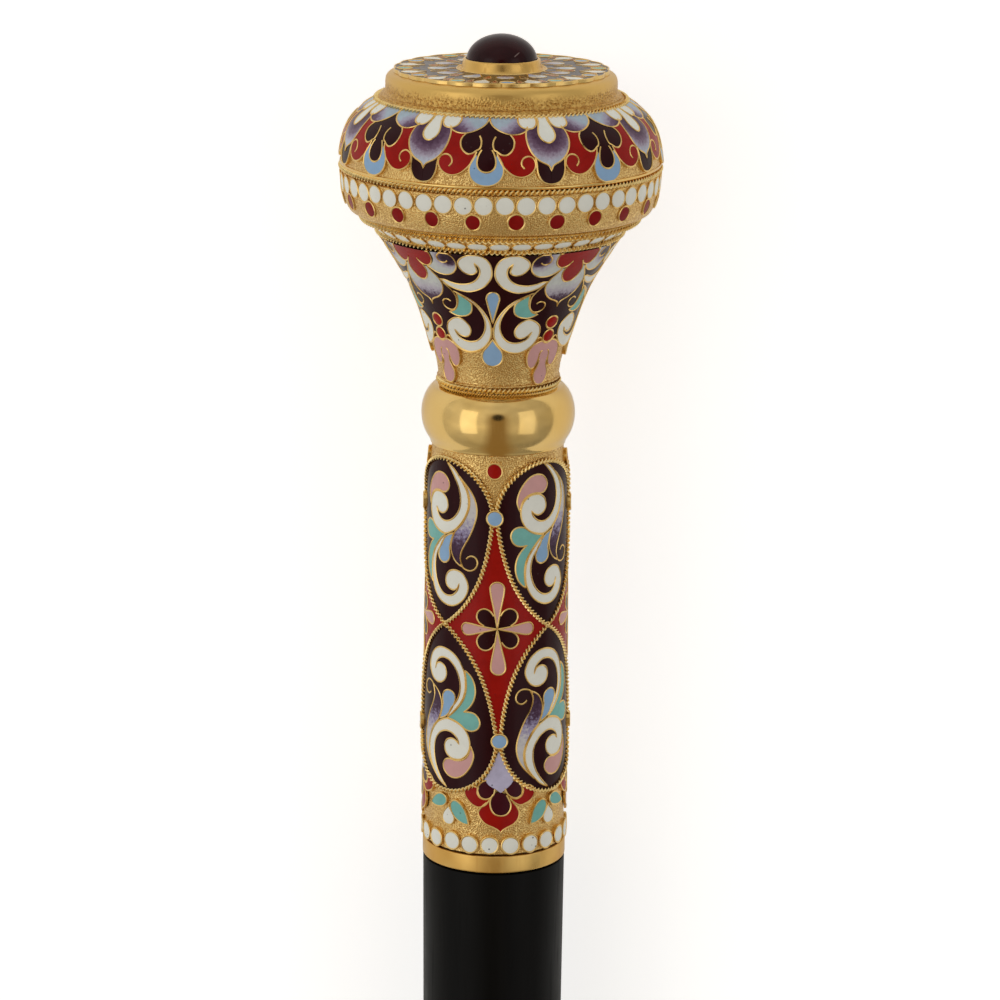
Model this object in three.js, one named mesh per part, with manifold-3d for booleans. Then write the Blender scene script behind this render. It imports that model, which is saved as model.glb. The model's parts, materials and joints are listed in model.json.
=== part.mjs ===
// A dress cane with a sceptre-like head: an enamelled gilt knob and grip on a black tapering shaft,
// lying at rest on the knob's widest band and on its ferrule. Millimetres, +Z up, +X towards the knob.
import * as THREE from "three";
import { mergeVertices } from "three/addons/utils/BufferGeometryUtils.js";
import Module from "manifold-3d";

const wasm = await Module();
wasm.setup();

// Driving sizes. Heights run along the cane from the ferrule's toe, and a radius is from its axis.
const ferruleLength = 36;
const ferruleRadius = 6.7;
const toeRadius = 6.3;
const shaftTop = 790; // where the black shaft meets the gilt handle
const shaftTopRadius = 11.27;
const shaftTipRadius = 6.46;
const seam = 0.3; // gap between pieces that touch
const wire = 0.3; // half the thickness of a twisted wire
const enamelRise = 0.45; // how far an enamelled field stands above the stippled gold round it

const collarHeight = 2.8;
const collarRadius = 11.35;
const gripFoot = shaftTop + collarHeight + seam;
const gripTop = shaftTop + 67.6;
const gripMiddle = shaftTop + 39.8; // where the four lozenges sit
const gripFootRadius = 11.1;
const gripHeadRadius = 10.55;
const coveRadius = 10.25;
const beadCentre = shaftTop + 72;
const beadRadius = 11.95;
const neckFoot = shaftTop + 76.7;
const neckRadius = 8.75; // in the groove that takes the bell's two foot wires
const bellTop = shaftTop + 100.4;
const bellTopRadius = 18.35;
const beltTop = shaftTop + 110.85;
const beltRadius = 24.5;
const wireGroove = 0.5;
const domeTop = shaftTop + 121.1;
const domeTopRadius = 18.9;
const capTop = shaftTop + 125.2;
const capRadius = 17.7;
const rosetteRadius = 16.3;
const rosetteRise = 0.6;
const stoneRadius = 5.4;
const stoneHeight = 4.05;
const stoneFoot = shaftTop + 126.85;
const seatRadius = 6.75; // bare spot in the middle of the rosette, where the bezel stands

// How the cane lies: the floor passes this far from the axis at the knob's widest band and at the toe.
const bandHeight = shaftTop + 110;
const restHeightAtBand = 24.2;
const toeHeight = 2;
const restHeightAtToe = 5.9;

const quarterTurn = Math.PI / 2;
const wireSteps = 24; // facets round a ring of wire
const plainSteps = 36; // facets round a plain turned piece
const carvedSteps = 64; // facets round a piece whose enamel has a lobed edge

const gilt = { color: 0xc9a24a, roughness: 0.32, metalness: 1 };
const enamelledGilt = { color: 0x5a1d20, roughness: 0.3, metalness: 0.2 };
const garnet = { color: 0x2a0a0c, roughness: 0.12, metalness: 0 };
const blackLacquer = { color: 0x0c0b0b, roughness: 0.3, metalness: 0 };
const brass = { color: 0xb08d45, roughness: 0.4, metalness: 1 };

const at = (height, radius) => new THREE.Vector2(radius, height);

// Part of an ellipse as profile points, from one angle to another measured up from its equator.
function arc(height, radius, rise, reach, from, to, steps) {
  const points = [];
  for (let i = 0; i <= steps; i++) {
    const turn = from + ((to - from) * i) / steps;
    points.push(at(height + rise * Math.sin(turn), radius + reach * Math.cos(turn)));
  }
  return points;
}

// A turned solid about +Z. `profile` gives the outline at an angle from the front, growing to the right,
// so that the edge of a raised field can wander as it goes round.
function turned(profile, steps = plainSteps) {
  const geometry = new THREE.LatheGeometry(profile(0), steps);
  const rows = profile(0).length;
  const position = geometry.getAttribute("position");
  for (let i = 0; i <= steps; i++) {
    const turn = ((i % steps) * 2 * Math.PI) / steps;
    profile(turn).forEach((point, row) => {
      position.setXYZ(i * rows + row, point.x * Math.sin(turn), point.y, point.x * Math.cos(turn));
    });
  }
  return geometry.rotateX(quarterTurn);
}

// The outline carried in to the axis at both ends.
const closed = (points) => [at(points[0].y, 0), ...points, at(points.at(-1).y, 0)];

// A twisted wire bent into a ring, as a plain ring with a four-sided section.
function wireRing(height, radius) {
  const corners = arc(height, radius, wire, wire, -quarterTurn, 3 * quarterTurn, 4);
  return turned(() => corners, wireSteps);
}

// The radius of a list of profile points at a height.
function radiusAt(points, height) {
  for (let i = 1; i < points.length; i++) {
    const [low, high] = [points[i - 1], points[i]];
    if (height <= high.y) {
      const share = Math.max(0, (height - low.y) / (high.y - low.y));
      return low.x + share * (high.x - low.x);
    }
  }
  return points.at(-1).x;
}

// Profile points that follow the ground between two heights and stand `rise` outside it.
function raised(ground, from, to, rise, steps) {
  const points = [];
  for (let i = 0; i <= steps; i++) {
    const height = from + ((to - from) * i) / steps;
    points.push(at(height, radiusAt(ground, height) + rise));
  }
  return points;
}

function ferrule() {
  const edge = 0.6;
  return turned(() =>
    closed([
      at(0, toeRadius - edge),
      at(edge, toeRadius),
      at(ferruleLength - edge, ferruleRadius),
      at(ferruleLength, ferruleRadius - edge / 3),
    ]),
  );
}

function shaft() {
  return turned(() =>
    closed([at(ferruleLength + seam, shaftTipRadius), at(shaftTop - seam, shaftTopRadius)]),
  );
}

function endCollar() {
  const edge = 0.2;
  return turned(() =>
    closed([
      at(shaftTop, collarRadius - edge),
      at(shaftTop + edge, collarRadius),
      at(shaftTop + collarHeight - edge, collarRadius),
      at(shaftTop + collarHeight, collarRadius - edge),
    ]),
  );
}

// The grip's enamel is a ring of four ovals over four more, with lozenges between. Its upper edge dips to
// a V above each lozenge, and its lower edge drops there to the foot of a palmette.
function gripSleeve() {
  const ovalReach = 26.2; // from the middle to the far end of an oval
  const dip = 7.2;
  const palmetteDrop = 6.2;
  const rise = 0.6;
  const ground = [
    at(gripFoot, gripFootRadius),
    at(gripTop - 3.5, gripHeadRadius),
    at(gripTop - 1.2, coveRadius),
    at(gripTop, coveRadius),
  ];
  const profile = (turn) => {
    const overLozenge = Math.max(0, Math.cos(4 * turn));
    const upper = gripMiddle + ovalReach - dip * overLozenge;
    const lower = gripMiddle - ovalReach - palmetteDrop * overLozenge;
    return closed([
      ground[0],
      at(lower, radiusAt(ground, lower)),
      ...raised(ground, lower, upper, rise, 2),
      at(upper, radiusAt(ground, upper)),
      ground[2],
      ground[3],
    ]);
  };
  return turned(profile, carvedSteps);
}

function polishedBead() {
  const roll = { rise: 5, reach: 3.4 };
  const outline = arc(beadCentre, beadRadius - roll.reach, roll.rise, roll.reach, -0.95, 1.05, 5);
  return turned(() => closed(outline));
}

// The bell: a flaring neck whose enamelled field ends below in four drops and four trefoils.
function bell() {
  const ground = [
    at(neckFoot, neckRadius),
    at(neckFoot + 1.1, neckRadius),
    at(neckFoot + 1.3, 9.3),
    at(shaftTop + 80.2, 9.6),
    at(shaftTop + 83.4, 10.45),
    at(shaftTop + 86.5, 11.35),
    at(shaftTop + 89.7, 12.45),
    at(shaftTop + 92.8, 13.75),
    at(shaftTop + 96, 15.55),
    at(shaftTop + 98.3, 17.0),
    at(shaftTop + 99.9, 18.0),
    at(bellTop, bellTopRadius),
  ];
  const fieldFoot = shaftTop + 83.2;
  const lobeDrop = 1.8;
  const profile = (turn) => {
    const lower = fieldFoot - lobeDrop * Math.cos(8 * turn);
    return closed([
      ...ground.slice(0, 4),
      at(lower, radiusAt(ground, lower)),
      ...raised(ground, lower, bellTop, enamelRise, 4),
    ]);
  };
  return turned(profile, carvedSteps);
}

// The band under the knob's equator, where two rows of enamelled discs go round. Below it a narrow
// facet turns in to the bell, and a groove at each end takes the twisted wires.
function belt() {
  const outline = closed([
    at(bellTop + seam, 18.4),
    at(shaftTop + 101.45, 19.15),
    at(shaftTop + 102.45, 20.8),
    at(shaftTop + 103.55, 21.35),
    at(shaftTop + 104, 21.6),
    at(shaftTop + 104, 23.1),
    at(shaftTop + 105.3, 23.8),
    at(shaftTop + 107, 24.25),
    at(beltTop - wireGroove, beltRadius),
    at(beltTop - wireGroove, beltRadius - wireGroove),
    at(beltTop, beltRadius - wireGroove),
  ]);
  return turned(() => outline, carvedSteps);
}

// The knob's upper half: a ridge at the equator, then a dome under sixteen lobes of enamel.
function dome() {
  const foot = beltTop + seam;
  const lobes = 16;
  const lobeFoot = shaftTop + 112;
  const lobeDepth = 1.2;
  const ground = [
    at(foot + wireGroove, beltRadius),
    at(shaftTop + 113.1, 24.35),
    at(shaftTop + 114.6, 24.05),
    at(shaftTop + 116.2, 23.6),
    at(shaftTop + 117.7, 22.8),
    at(shaftTop + 119.2, 21.5),
    at(shaftTop + 120.2, 20.25),
    at(domeTop, domeTopRadius),
  ];
  const profile = (turn) => {
    const lower = lobeFoot + lobeDepth * Math.sin((lobes * turn) / 2) ** 2;
    return closed([
      at(foot, beltRadius - wireGroove),
      at(foot + wireGroove, beltRadius - wireGroove),
      ground[0],
      at(lower, radiusAt(ground, lower)),
      ...raised(ground, lower, domeTop - 0.4, enamelRise, 4),
      at(domeTop, domeTopRadius),
    ]);
  };
  return turned(profile, carvedSteps);
}

// The raised drum on top: a lip, a straight wall with a round shoulder, and a thick enamelled rosette
// that leaves the middle bare for the bezel.
function cap() {
  const foot = domeTop + seam;
  const lip = { height: 0.45, radius: 18.85 };
  const shoulder = 1.25;
  const scallop = 0.3;
  const profile = (turn) => {
    const edge = rosetteRadius + scallop * Math.cos(16 * turn);
    return closed([
      at(foot, lip.radius),
      at(foot + lip.height, lip.radius),
      at(foot + lip.height + 0.2, capRadius),
      ...arc(capTop - shoulder, capRadius - shoulder, shoulder, shoulder, 0, quarterTurn - 0.2, 3),
      at(capTop, edge),
      at(capTop + rosetteRise, edge),
      at(capTop + rosetteRise, seatRadius),
      at(capTop, seatRadius),
    ]);
  };
  return turned(profile, carvedSteps);
}

// The collet: a foot ring, and a wall that rises just past the edge of the stone.
function bezel() {
  const foot = capTop + seam;
  const rim = stoneFoot + 0.4;
  const footRing = { height: 0.4, radius: 6.3 };
  const wallRadius = 5.95;
  return turned(() => [
    at(foot, 0),
    at(foot, footRing.radius),
    at(foot + footRing.height, footRing.radius),
    at(foot + footRing.height, wallRadius),
    at(rim, wallRadius),
    at(rim, stoneRadius + seam),
    at(stoneFoot - seam, stoneRadius + seam),
    at(stoneFoot - seam, 0),
  ]);
}

function cabochon() {
  const outline = arc(stoneFoot, 0, stoneHeight, stoneRadius, 0, quarterTurn, 6);
  outline.at(-1).x = 0;
  return turned(() => [at(stoneFoot, 0), ...outline], 32);
}

// The matrix that lays the upright cane down: its front faces up and its head points along +X.
function lyingDown() {
  const climb = Math.asin((restHeightAtBand - restHeightAtToe) / (bandHeight - toeHeight));
  const right = new THREE.Vector3(0, -1, 0);
  const back = new THREE.Vector3(Math.sin(climb), 0, -Math.cos(climb));
  const along = new THREE.Vector3(Math.cos(climb), 0, Math.sin(climb));
  const axisAtToe = restHeightAtToe - toeHeight * Math.sin(climb);
  return new THREE.Matrix4().makeBasis(right, back, along).setPosition(0, 0, axisAtToe);
}

function solidOf(geometry) {
  const bare = geometry.clone();
  bare.deleteAttribute("normal");
  bare.deleteAttribute("uv");
  const merged = mergeVertices(bare, 1e-3);
  return new wasm.Manifold(
    new wasm.Mesh({
      numProp: 3,
      vertProperties: merged.getAttribute("position").array,
      triVerts: new Uint32Array(merged.index.array),
    }),
  );
}

function geometryOf(solid) {
  const made = solid.getMesh();
  const geometry = new THREE.BufferGeometry();
  geometry.setAttribute("position", new THREE.BufferAttribute(made.vertProperties, 3));
  geometry.setIndex(new THREE.BufferAttribute(made.triVerts, 1));
  return geometry;
}

// Takes off what would reach below the floor, which leaves a small flat where the cane rests.
function withRestFlat(geometry) {
  const underFloor = new THREE.BoxGeometry(3000, 200, 50).translate(0, 0, -25);
  return geometryOf(solidOf(geometry).subtract(solidOf(underFloor)));
}

const pieces = [
  { name: "ferrule", upright: ferrule(), finish: brass, rests: true },
  { name: "shaft", upright: shaft(), finish: blackLacquer },
  { name: "end_collar", upright: endCollar(), finish: gilt },
  { name: "grip_sleeve", upright: gripSleeve(), finish: enamelledGilt },
  { name: "polished_bead", upright: polishedBead(), finish: gilt },
  { name: "neck_rope_lower", upright: wireRing(neckFoot + 0.1, neckRadius + 0.4), finish: gilt },
  { name: "neck_rope_upper", upright: wireRing(neckFoot + 0.75, neckRadius + 0.4), finish: gilt },
  { name: "bell", upright: bell(), finish: enamelledGilt },
  { name: "bell_rope", upright: wireRing(bellTop + 0.45, bellTopRadius + 0.85), finish: gilt },
  { name: "belt", upright: belt(), finish: enamelledGilt, rests: true },
  { name: "belt_rope_lower", upright: wireRing(shaftTop + 102.9, 21.6), finish: gilt },
  { name: "belt_rope_upper", upright: wireRing(shaftTop + 103.55, 22.05), finish: gilt },
  { name: "equator_rope_lower", upright: wireRing(beltTop - 0.18, 24.62), finish: gilt, rests: true },
  { name: "equator_rope_upper", upright: wireRing(beltTop + 0.48, 24.64), finish: gilt, rests: true },
  { name: "dome", upright: dome(), finish: enamelledGilt, rests: true },
  { name: "cap_rope", upright: wireRing(domeTop + 0.1, domeTopRadius + 0.75), finish: gilt },
  { name: "cap", upright: cap(), finish: enamelledGilt },
  { name: "bezel", upright: bezel(), finish: gilt },
  { name: "cabochon", upright: cabochon(), finish: garnet },
];

const cane = new THREE.Group();
const lying = lyingDown();
for (const { name, upright, finish, rests } of pieces) {
  const laid = upright.applyMatrix4(lying);
  const mesh = new THREE.Mesh(rests ? withRestFlat(laid) : laid, new THREE.MeshStandardMaterial(finish));
  mesh.name = name;
  cane.add(mesh);
}

// The origin is on the floor, half way along the cane.
const extent = new THREE.Box3().setFromObject(cane);
cane.position.x = -(extent.min.x + extent.max.x) / 2;

export default cane;
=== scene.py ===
import json
import math

import bpy
import numpy as np
from mathutils import Matrix, Vector, geometry


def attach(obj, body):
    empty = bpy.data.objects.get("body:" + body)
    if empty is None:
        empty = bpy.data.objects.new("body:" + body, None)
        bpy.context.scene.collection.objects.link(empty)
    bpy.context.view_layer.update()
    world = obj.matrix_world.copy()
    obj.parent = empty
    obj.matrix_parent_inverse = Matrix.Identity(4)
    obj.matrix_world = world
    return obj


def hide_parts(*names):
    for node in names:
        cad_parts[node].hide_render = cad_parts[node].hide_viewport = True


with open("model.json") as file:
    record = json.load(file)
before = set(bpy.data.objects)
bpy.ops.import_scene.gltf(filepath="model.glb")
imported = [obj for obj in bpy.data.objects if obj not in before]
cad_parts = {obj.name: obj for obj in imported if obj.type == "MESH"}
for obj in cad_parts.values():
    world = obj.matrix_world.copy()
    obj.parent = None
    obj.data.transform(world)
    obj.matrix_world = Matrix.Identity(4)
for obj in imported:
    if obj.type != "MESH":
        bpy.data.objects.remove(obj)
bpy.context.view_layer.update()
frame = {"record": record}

fullTurn = 2 * math.pi
chance = np.random.default_rng(31)


def jitter(spread):
    return chance.normal(0, spread)


# The cane lies along the frame's X. Lengths are in mm: t runs up the cane from the foot of the gilt handle,
# r is from its axis, and an angle is 0 on the upper side and grows to the right as the camera sees it.
tipFace = next(m for m in frame["record"]["mounts"] if m["name"] == "ferrule_tip_face")
toe = np.array(tipFace["pos_m"])
along = -np.array(tipFace["axis"])
right = np.array((0.0, -1.0, 0.0))
front = np.cross(right, along)
shaftLength = 790  # toe to the foot of the handle


def onCane(t, r, angle):
    t, r, angle = np.broadcast_arrays(t, r, angle)
    spot = toe + np.multiply.outer((shaftLength + t) / 1000, along)
    spot = spot + np.multiply.outer(r * np.cos(angle) / 1000, front)
    return spot + np.multiply.outer(r * np.sin(angle) / 1000, right)


class Wiring:
    # the few ways of adding to a node tree that the looks need
    def __init__(self, tree):
        self.tree = tree

    def feed(self, node, sockets):
        for socket, source in sockets.items():
            if isinstance(source, bpy.types.NodeSocket):
                self.tree.links.new(source, node.inputs[socket])
            else:
                node.inputs[socket].default_value = source
        return node

    def add(self, kind, sockets=None, **settings):
        node = self.tree.nodes.new(kind)
        for name, value in settings.items():
            setattr(node, name, value)
        return self.feed(node, sockets or {})

    def group(self, tree, sockets):
        return self.add("ShaderNodeGroup", sockets, node_tree=tree).outputs

    def place(self, kind="Object"):
        return self.add("ShaderNodeTexCoord").outputs[kind]

    def stretched(self, place, scale, turn=(0, 0, 0)):
        sockets = {"Vector": place, "Rotation": turn, "Scale": scale}
        return self.add("ShaderNodeMapping", sockets).outputs["Vector"]

    def maths(self, what, a, b=0.0):
        return self.add("ShaderNodeMath", {0: a, 1: b}, operation=what).outputs[0]

    def vectors(self, what, a, b=(0, 0, 0)):
        node = self.add("ShaderNodeVectorMath", {0: a, 1: b}, operation=what)
        return node.outputs["Vector" if what == "SUBTRACT" else "Value"]

    def noise(self, place, scale, detail=2.0, rough=0.5):
        sockets = {"Vector": place, "Scale": scale, "Detail": detail, "Roughness": rough}
        return self.add("ShaderNodeTexNoise", sockets).outputs["Fac"]

    def cells(self, place, scale):
        return self.add("ShaderNodeTexVoronoi", {"Vector": place, "Scale": scale}).outputs["Distance"]

    def between(self, value, low, high, start=0.0, end=1.0):
        sockets = {"Value": value, "From Min": low, "From Max": high, "To Min": start, "To Max": end}
        return self.add("ShaderNodeMapRange", sockets).outputs["Result"]

    def blend(self, share, first, second, how="MIX"):
        sockets = {0: share, 6: first, 7: second}
        return self.add("ShaderNodeMix", sockets, data_type="RGBA", blend_type=how).outputs[2]


cameraSet = dict(lens=144, film=36, height=605.3, along=215.2, tilt=14.58, roll=0.6, aside=0.43, reach=20)
lightSet = dict(overhead=0.72, horizon=0.66, slot=(0.27, 0.2, 0.115, 1), gap=(0.03, 0.028, 0.025, 1),
                gapWay=(0.25, 0.0, 0.968), tint=(1.0, 0.985, 0.945, 1), softbox=0.95, rightShare=0.85,
                softboxSize=(1.1, 0.5), softboxAway=0.75, aimAt=60, floorGlow=0.58, floorSpill=0.24,
                floorSize=8, floorTone=0.9)


def makeCamera():
    s = cameraSet
    data = bpy.data.cameras.new("camera")
    data.lens, data.sensor_width, data.clip_end = s["lens"], s["film"], s["reach"]
    tilt = math.radians(s["tilt"])
    back = front * math.cos(tilt) + along * math.sin(tilt)
    upward = along * math.cos(tilt) - front * math.sin(tilt)
    turn = Matrix([Vector(right), Vector(upward), Vector(back)]).transposed()
    spot = onCane(s["along"], s["height"], 0) + right * s["aside"] / 1000
    roll = Matrix.Rotation(math.radians(s["roll"]), 4, "Z")
    camera = bpy.data.objects.new("camera", data)
    camera.matrix_world = Matrix.Translation(Vector(spot)) @ turn.to_4x4() @ roll
    bpy.context.collection.objects.link(camera)
    bpy.context.scene.camera = camera


def makeSoftbox(name, side, power):
    aim = Vector(onCane(lightSet["aimAt"], 0, 0))
    spot = aim + Vector((0, side * lightSet["softboxAway"], lightSet["softboxAway"]))
    data = bpy.data.lights.new(name, "AREA")
    data.shape = "RECTANGLE"
    data.size, data.size_y = lightSet["softboxSize"]
    data.energy = power
    lamp = bpy.data.objects.new(name, data)
    lamp.location = spot
    lamp.rotation_euler = (aim - spot).to_track_quat("-Z", "Y").to_euler()
    bpy.context.collection.objects.link(lamp)


def makeTent():
    # a white light tent, dimmer low down and toward the foot, with an opening above the middle of the handle
    world = bpy.data.worlds.new("light tent")
    bpy.context.scene.world = world
    world.use_nodes = True
    wire = Wiring(world.node_tree)
    way = wire.place("Generated")
    parts = wire.add("ShaderNodeSeparateXYZ", {"Vector": way}).outputs
    level = wire.between(parts["Z"], 0.0, 0.55, lightSet["horizon"], lightSet["overhead"])
    side = wire.between(parts["Y"], -0.7, 0.3, 0.7, 1.05)
    folds = wire.between(wire.noise(way, 2.2), 0.3, 0.7, 0.8, 1.12)
    footward = wire.between(parts["X"], -0.85, -0.2, 0.58, 1.0)
    for factor in (side, folds, footward):
        level = wire.maths("MULTIPLY", level, factor)
    tint = wire.blend(1.0, level, lightSet["tint"], "MULTIPLY")
    sideways = wire.between(wire.maths("ABSOLUTE", parts["Y"]), 0.14, 0.36, 1.0, 0.0)
    headward = wire.between(parts["X"], 0.2, 0.5, 1.0, 0.0)
    tint = wire.blend(wire.maths("MULTIPLY", sideways, headward), tint, lightSet["slot"])
    toGap = wire.vectors("DOT_PRODUCT", way, lightSet["gapWay"])
    tint = wire.blend(wire.between(toGap, 0.982, 0.994), tint, lightSet["gap"])
    wire.feed(wire.tree.nodes["Background"], {"Color": tint})


def makeFloor():
    bpy.ops.mesh.primitive_plane_add(size=lightSet["floorSize"], location=(0, 0, 0))
    floor = bpy.context.object
    floor.name = "floor"
    paper = bpy.data.materials.new("white paper")
    paper.use_nodes = True
    wire = Wiring(paper.node_tree)
    seen = wire.add("ShaderNodeLightPath").outputs["Is Camera Ray"]
    tone, spill, glow = lightSet["floorTone"], lightSet["floorSpill"], lightSet["floorGlow"]
    backing = wire.blend(seen, (spill, spill, spill * 0.97, 1), (glow, glow, glow, 1))
    # lit from behind, less so toward the cane
    wire.feed(wire.tree.nodes["Principled BSDF"], {"Base Color": (tone, tone, tone, 1), "Roughness": 0.9,
                                                   "Emission Strength": 1, "Emission Color": backing})
    floor.data.materials.append(paper)
    bpy.context.scene.view_settings.view_transform = "Standard"


makeCamera()
makeTent()
makeSoftbox("left", 1, lightSet["softbox"])
makeSoftbox("right", -1, lightSet["softbox"] * lightSet["rightShare"])
makeFloor()
print("studio ready")


def linear(r, g, b):
    def one(c):
        c = c / 255
        return c / 12.92 if c <= 0.04045 else ((c + 0.055) / 1.055) ** 2.4

    return (one(r), one(g), one(b), 1)


def newGroup(name, ins, outs):
    # a tuple stands for a colour, and so does an output named Colour
    group = bpy.data.node_groups.new(name, "ShaderNodeTree")
    for label, value in ins.items():
        kind = "NodeSocketColor" if isinstance(value, tuple) else "NodeSocketFloat"
        group.interface.new_socket(name=label, in_out="INPUT", socket_type=kind).default_value = value
    for label in outs:
        kind = "NodeSocketColor" if label == "Colour" else "NodeSocketFloat"
        group.interface.new_socket(name=label, in_out="OUTPUT", socket_type=kind)
    wire = Wiring(group)
    return wire, wire.add("NodeGroupInput").outputs


def makeStippleGroup():
    # punched gold: small rounded dimples, crowded and uneven
    wire, ins = newGroup("punched stipple", {"Scale": 2600.0, "Unevenness": 0.5}, ("Height", "Hollow"))
    place = wire.place()
    dimple = wire.between(wire.cells(place, ins["Scale"]), 0.05, 0.75)
    lumps = wire.maths("MULTIPLY", wire.noise(place, 1500.0, 3.0, 0.6), ins["Unevenness"])
    wire.add("NodeGroupOutput", {"Height": wire.maths("ADD", dimple, lumps),
                                 "Hollow": wire.maths("SUBTRACT", 1.0, dimple)})
    return wire.tree


def makeHandlingGroup():
    # what hands and cloths leave on a polished surface: fine crossed scratches and faint smears
    wire, ins = newGroup("handling marks", {"Scratches": 0.5, "Smears": 0.5}, ("Roughness Gain", "Height"))
    place = wire.place()
    runs = []
    for turn, seed in ((0.3, 0.0), (-0.9, 2.0), (1.5, 5.0)):
        stretched = wire.stretched(place, (60, 1400, 1400), (turn, seed, turn * 2))
        runs.append(wire.between(wire.noise(stretched, 1.0, 1.0), 0.66, 0.72))
    lines = wire.maths("MAXIMUM", wire.maths("MAXIMUM", runs[0], runs[1]), runs[2])
    smear = wire.between(wire.noise(place, 70.0, 4.0, 0.65), 0.4, 0.75)
    marks = wire.maths("MULTIPLY", lines, ins["Scratches"])
    film = wire.maths("MULTIPLY", smear, ins["Smears"])
    wire.add("NodeGroupOutput", {"Roughness Gain": wire.maths("ADD", marks, film),
                                 "Height": wire.maths("MULTIPLY", marks, -1.0)})
    return wire.tree


pitDark = (0.02, 0.015, 0.02, 1)


def makeMeltGroup():
    # fired glass: soft mottling, a few pinholes and a surface that isn't quite level
    wire, ins = newGroup("fired enamel", {"Colour": (0.5, 0.5, 0.5, 1), "Mottle": 0.15, "Pits": 0.6,
                                          "Pit Colour": pitDark}, ("Colour", "Roughness", "Height"))
    place = wire.place()
    cloud = wire.between(wire.noise(place, 520.0, 4.0, 0.6), 0.3, 0.7, -1.0, 1.0)
    swing = wire.maths("ADD", wire.maths("MULTIPLY", cloud, ins["Mottle"]), 1.0)
    sockets = {0: ins["Colour"], "Scale": swing}
    mottled = wire.add("ShaderNodeVectorMath", sockets, operation="SCALE").outputs[0]
    rare = wire.between(wire.noise(place, 260.0, 1.0), 0.56, 0.62)
    pit = wire.maths("MULTIPLY", wire.between(wire.cells(place, 900.0), 0.16, 0.08), rare)
    pit = wire.maths("MULTIPLY", pit, ins["Pits"])
    wire.add("NodeGroupOutput", {"Colour": wire.blend(pit, mottled, ins["Pit Colour"]),
                                 "Roughness": wire.between(cloud, -1.0, 1.0, 0.14, 0.24),
                                 "Height": wire.maths("SUBTRACT", wire.noise(place, 330.0), pit)})
    return wire.tree


stippleGroup = makeStippleGroup()
handlingGroup = makeHandlingGroup()
meltGroup = makeMeltGroup()


class Finish(Wiring):
    def __init__(self, name, constants):
        self.material = bpy.data.materials.new(name)
        self.material.use_nodes = True
        super().__init__(self.material.node_tree)
        self.shader = self.feed(self.tree.nodes["Principled BSDF"], constants)

    def dress(self, colour, rough, height, depth, strength):
        bump = self.add("ShaderNodeBump", {"Height": height, "Distance": depth, "Strength": strength})
        self.feed(self.shader, {"Base Color": colour, "Roughness": rough, "Normal": bump.outputs["Normal"]})
        return self.material

    def handled(self, scratches, smears):
        return self.group(handlingGroup, {"Scratches": scratches, "Smears": smears})


# the darkest tone is painted shade in punched hollows, and the lightest is painted light on the twisted rope
# strands
goldSet = dict(bright=(0.80, 0.52, 0.165, 1), deep=(0.46, 0.2, 0.035, 1), pale=(0.85, 0.59, 0.225, 1),
               litStrand=(0.98, 0.74, 0.32, 1), warm=(0.7, 0.4, 0.1, 1))


def polishedGold(name, darker, lighter, roughness, scratches, smears):
    wire = Finish(name, {"Metallic": 1.0})
    marks = wire.handled(scratches, smears)
    tone = wire.between(wire.noise(wire.place(), 120.0, 3.0), 0.35, 0.7)
    colour = wire.blend(tone, goldSet[darker], goldSet[lighter])
    rough = wire.maths("ADD", marks["Roughness Gain"], roughness)
    return wire.dress(colour, rough, marks["Height"], 0.00001, 0.3)


def stippledGold():
    wire = Finish("gold stippled", {"Metallic": 1.0})
    punch = wire.group(stippleGroup, {"Scale": 4300.0, "Unevenness": 0.5})
    # the hollows of the dimples are painted darker and more orange: painted shade
    colour = wire.blend(punch["Hollow"], goldSet["pale"], goldSet["deep"])
    rough = wire.between(punch["Hollow"], 0.0, 1.0, 0.26, 0.42)
    return wire.dress(colour, rough, punch["Height"], 0.0001, 0.6)


def wireGold(name, darker, lighter):
    wire = Finish(name, {"Metallic": 1.0})
    place = wire.place()
    tone = wire.between(wire.noise(place, 800.0), 0.35, 0.65)
    colour = wire.blend(tone, goldSet[darker], goldSet[lighter])
    rough = wire.between(tone, 0.0, 1.0, 0.2, 0.34)
    return wire.dress(colour, rough, wire.noise(place, 5200.0), 0.00002, 0.5)


def enamel(name, colour, mottle=0.08, pits=0.6, pitColour=pitDark):
    # a list of stops is a colour shaded into others while wet, by the shade each point carries
    wire = Finish("enamel " + name, {"Specular IOR Level": 0.1})
    if isinstance(colour, list):
        shade = wire.add("ShaderNodeAttribute", attribute_name="shade").outputs["Fac"]
        ragged = wire.between(wire.noise(wire.place(), 1900.0, 4.0, 0.75), 0.25, 0.75, -0.2, 0.2)
        blended = wire.add("ShaderNodeValToRGB", {"Fac": wire.maths("ADD", shade, ragged)})
        ramp = blended.color_ramp
        while len(ramp.elements) < len(colour):
            ramp.elements.new(0.5)
        for element, (spot, tint) in zip(ramp.elements, colour):
            element.position = spot
            element.color = tint
        colour = blended.outputs["Color"]
    melt = wire.group(meltGroup, {"Colour": colour, "Mottle": mottle, "Pits": pits, "Pit Colour": pitColour})
    return wire.dress(melt["Colour"], melt["Roughness"], melt["Height"], 0.00006, 0.5)


white = linear(240, 240, 231)
purple = linear(84, 60, 82)
plum = linear(50, 28, 42)
violet = linear(84, 58, 80)

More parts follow.
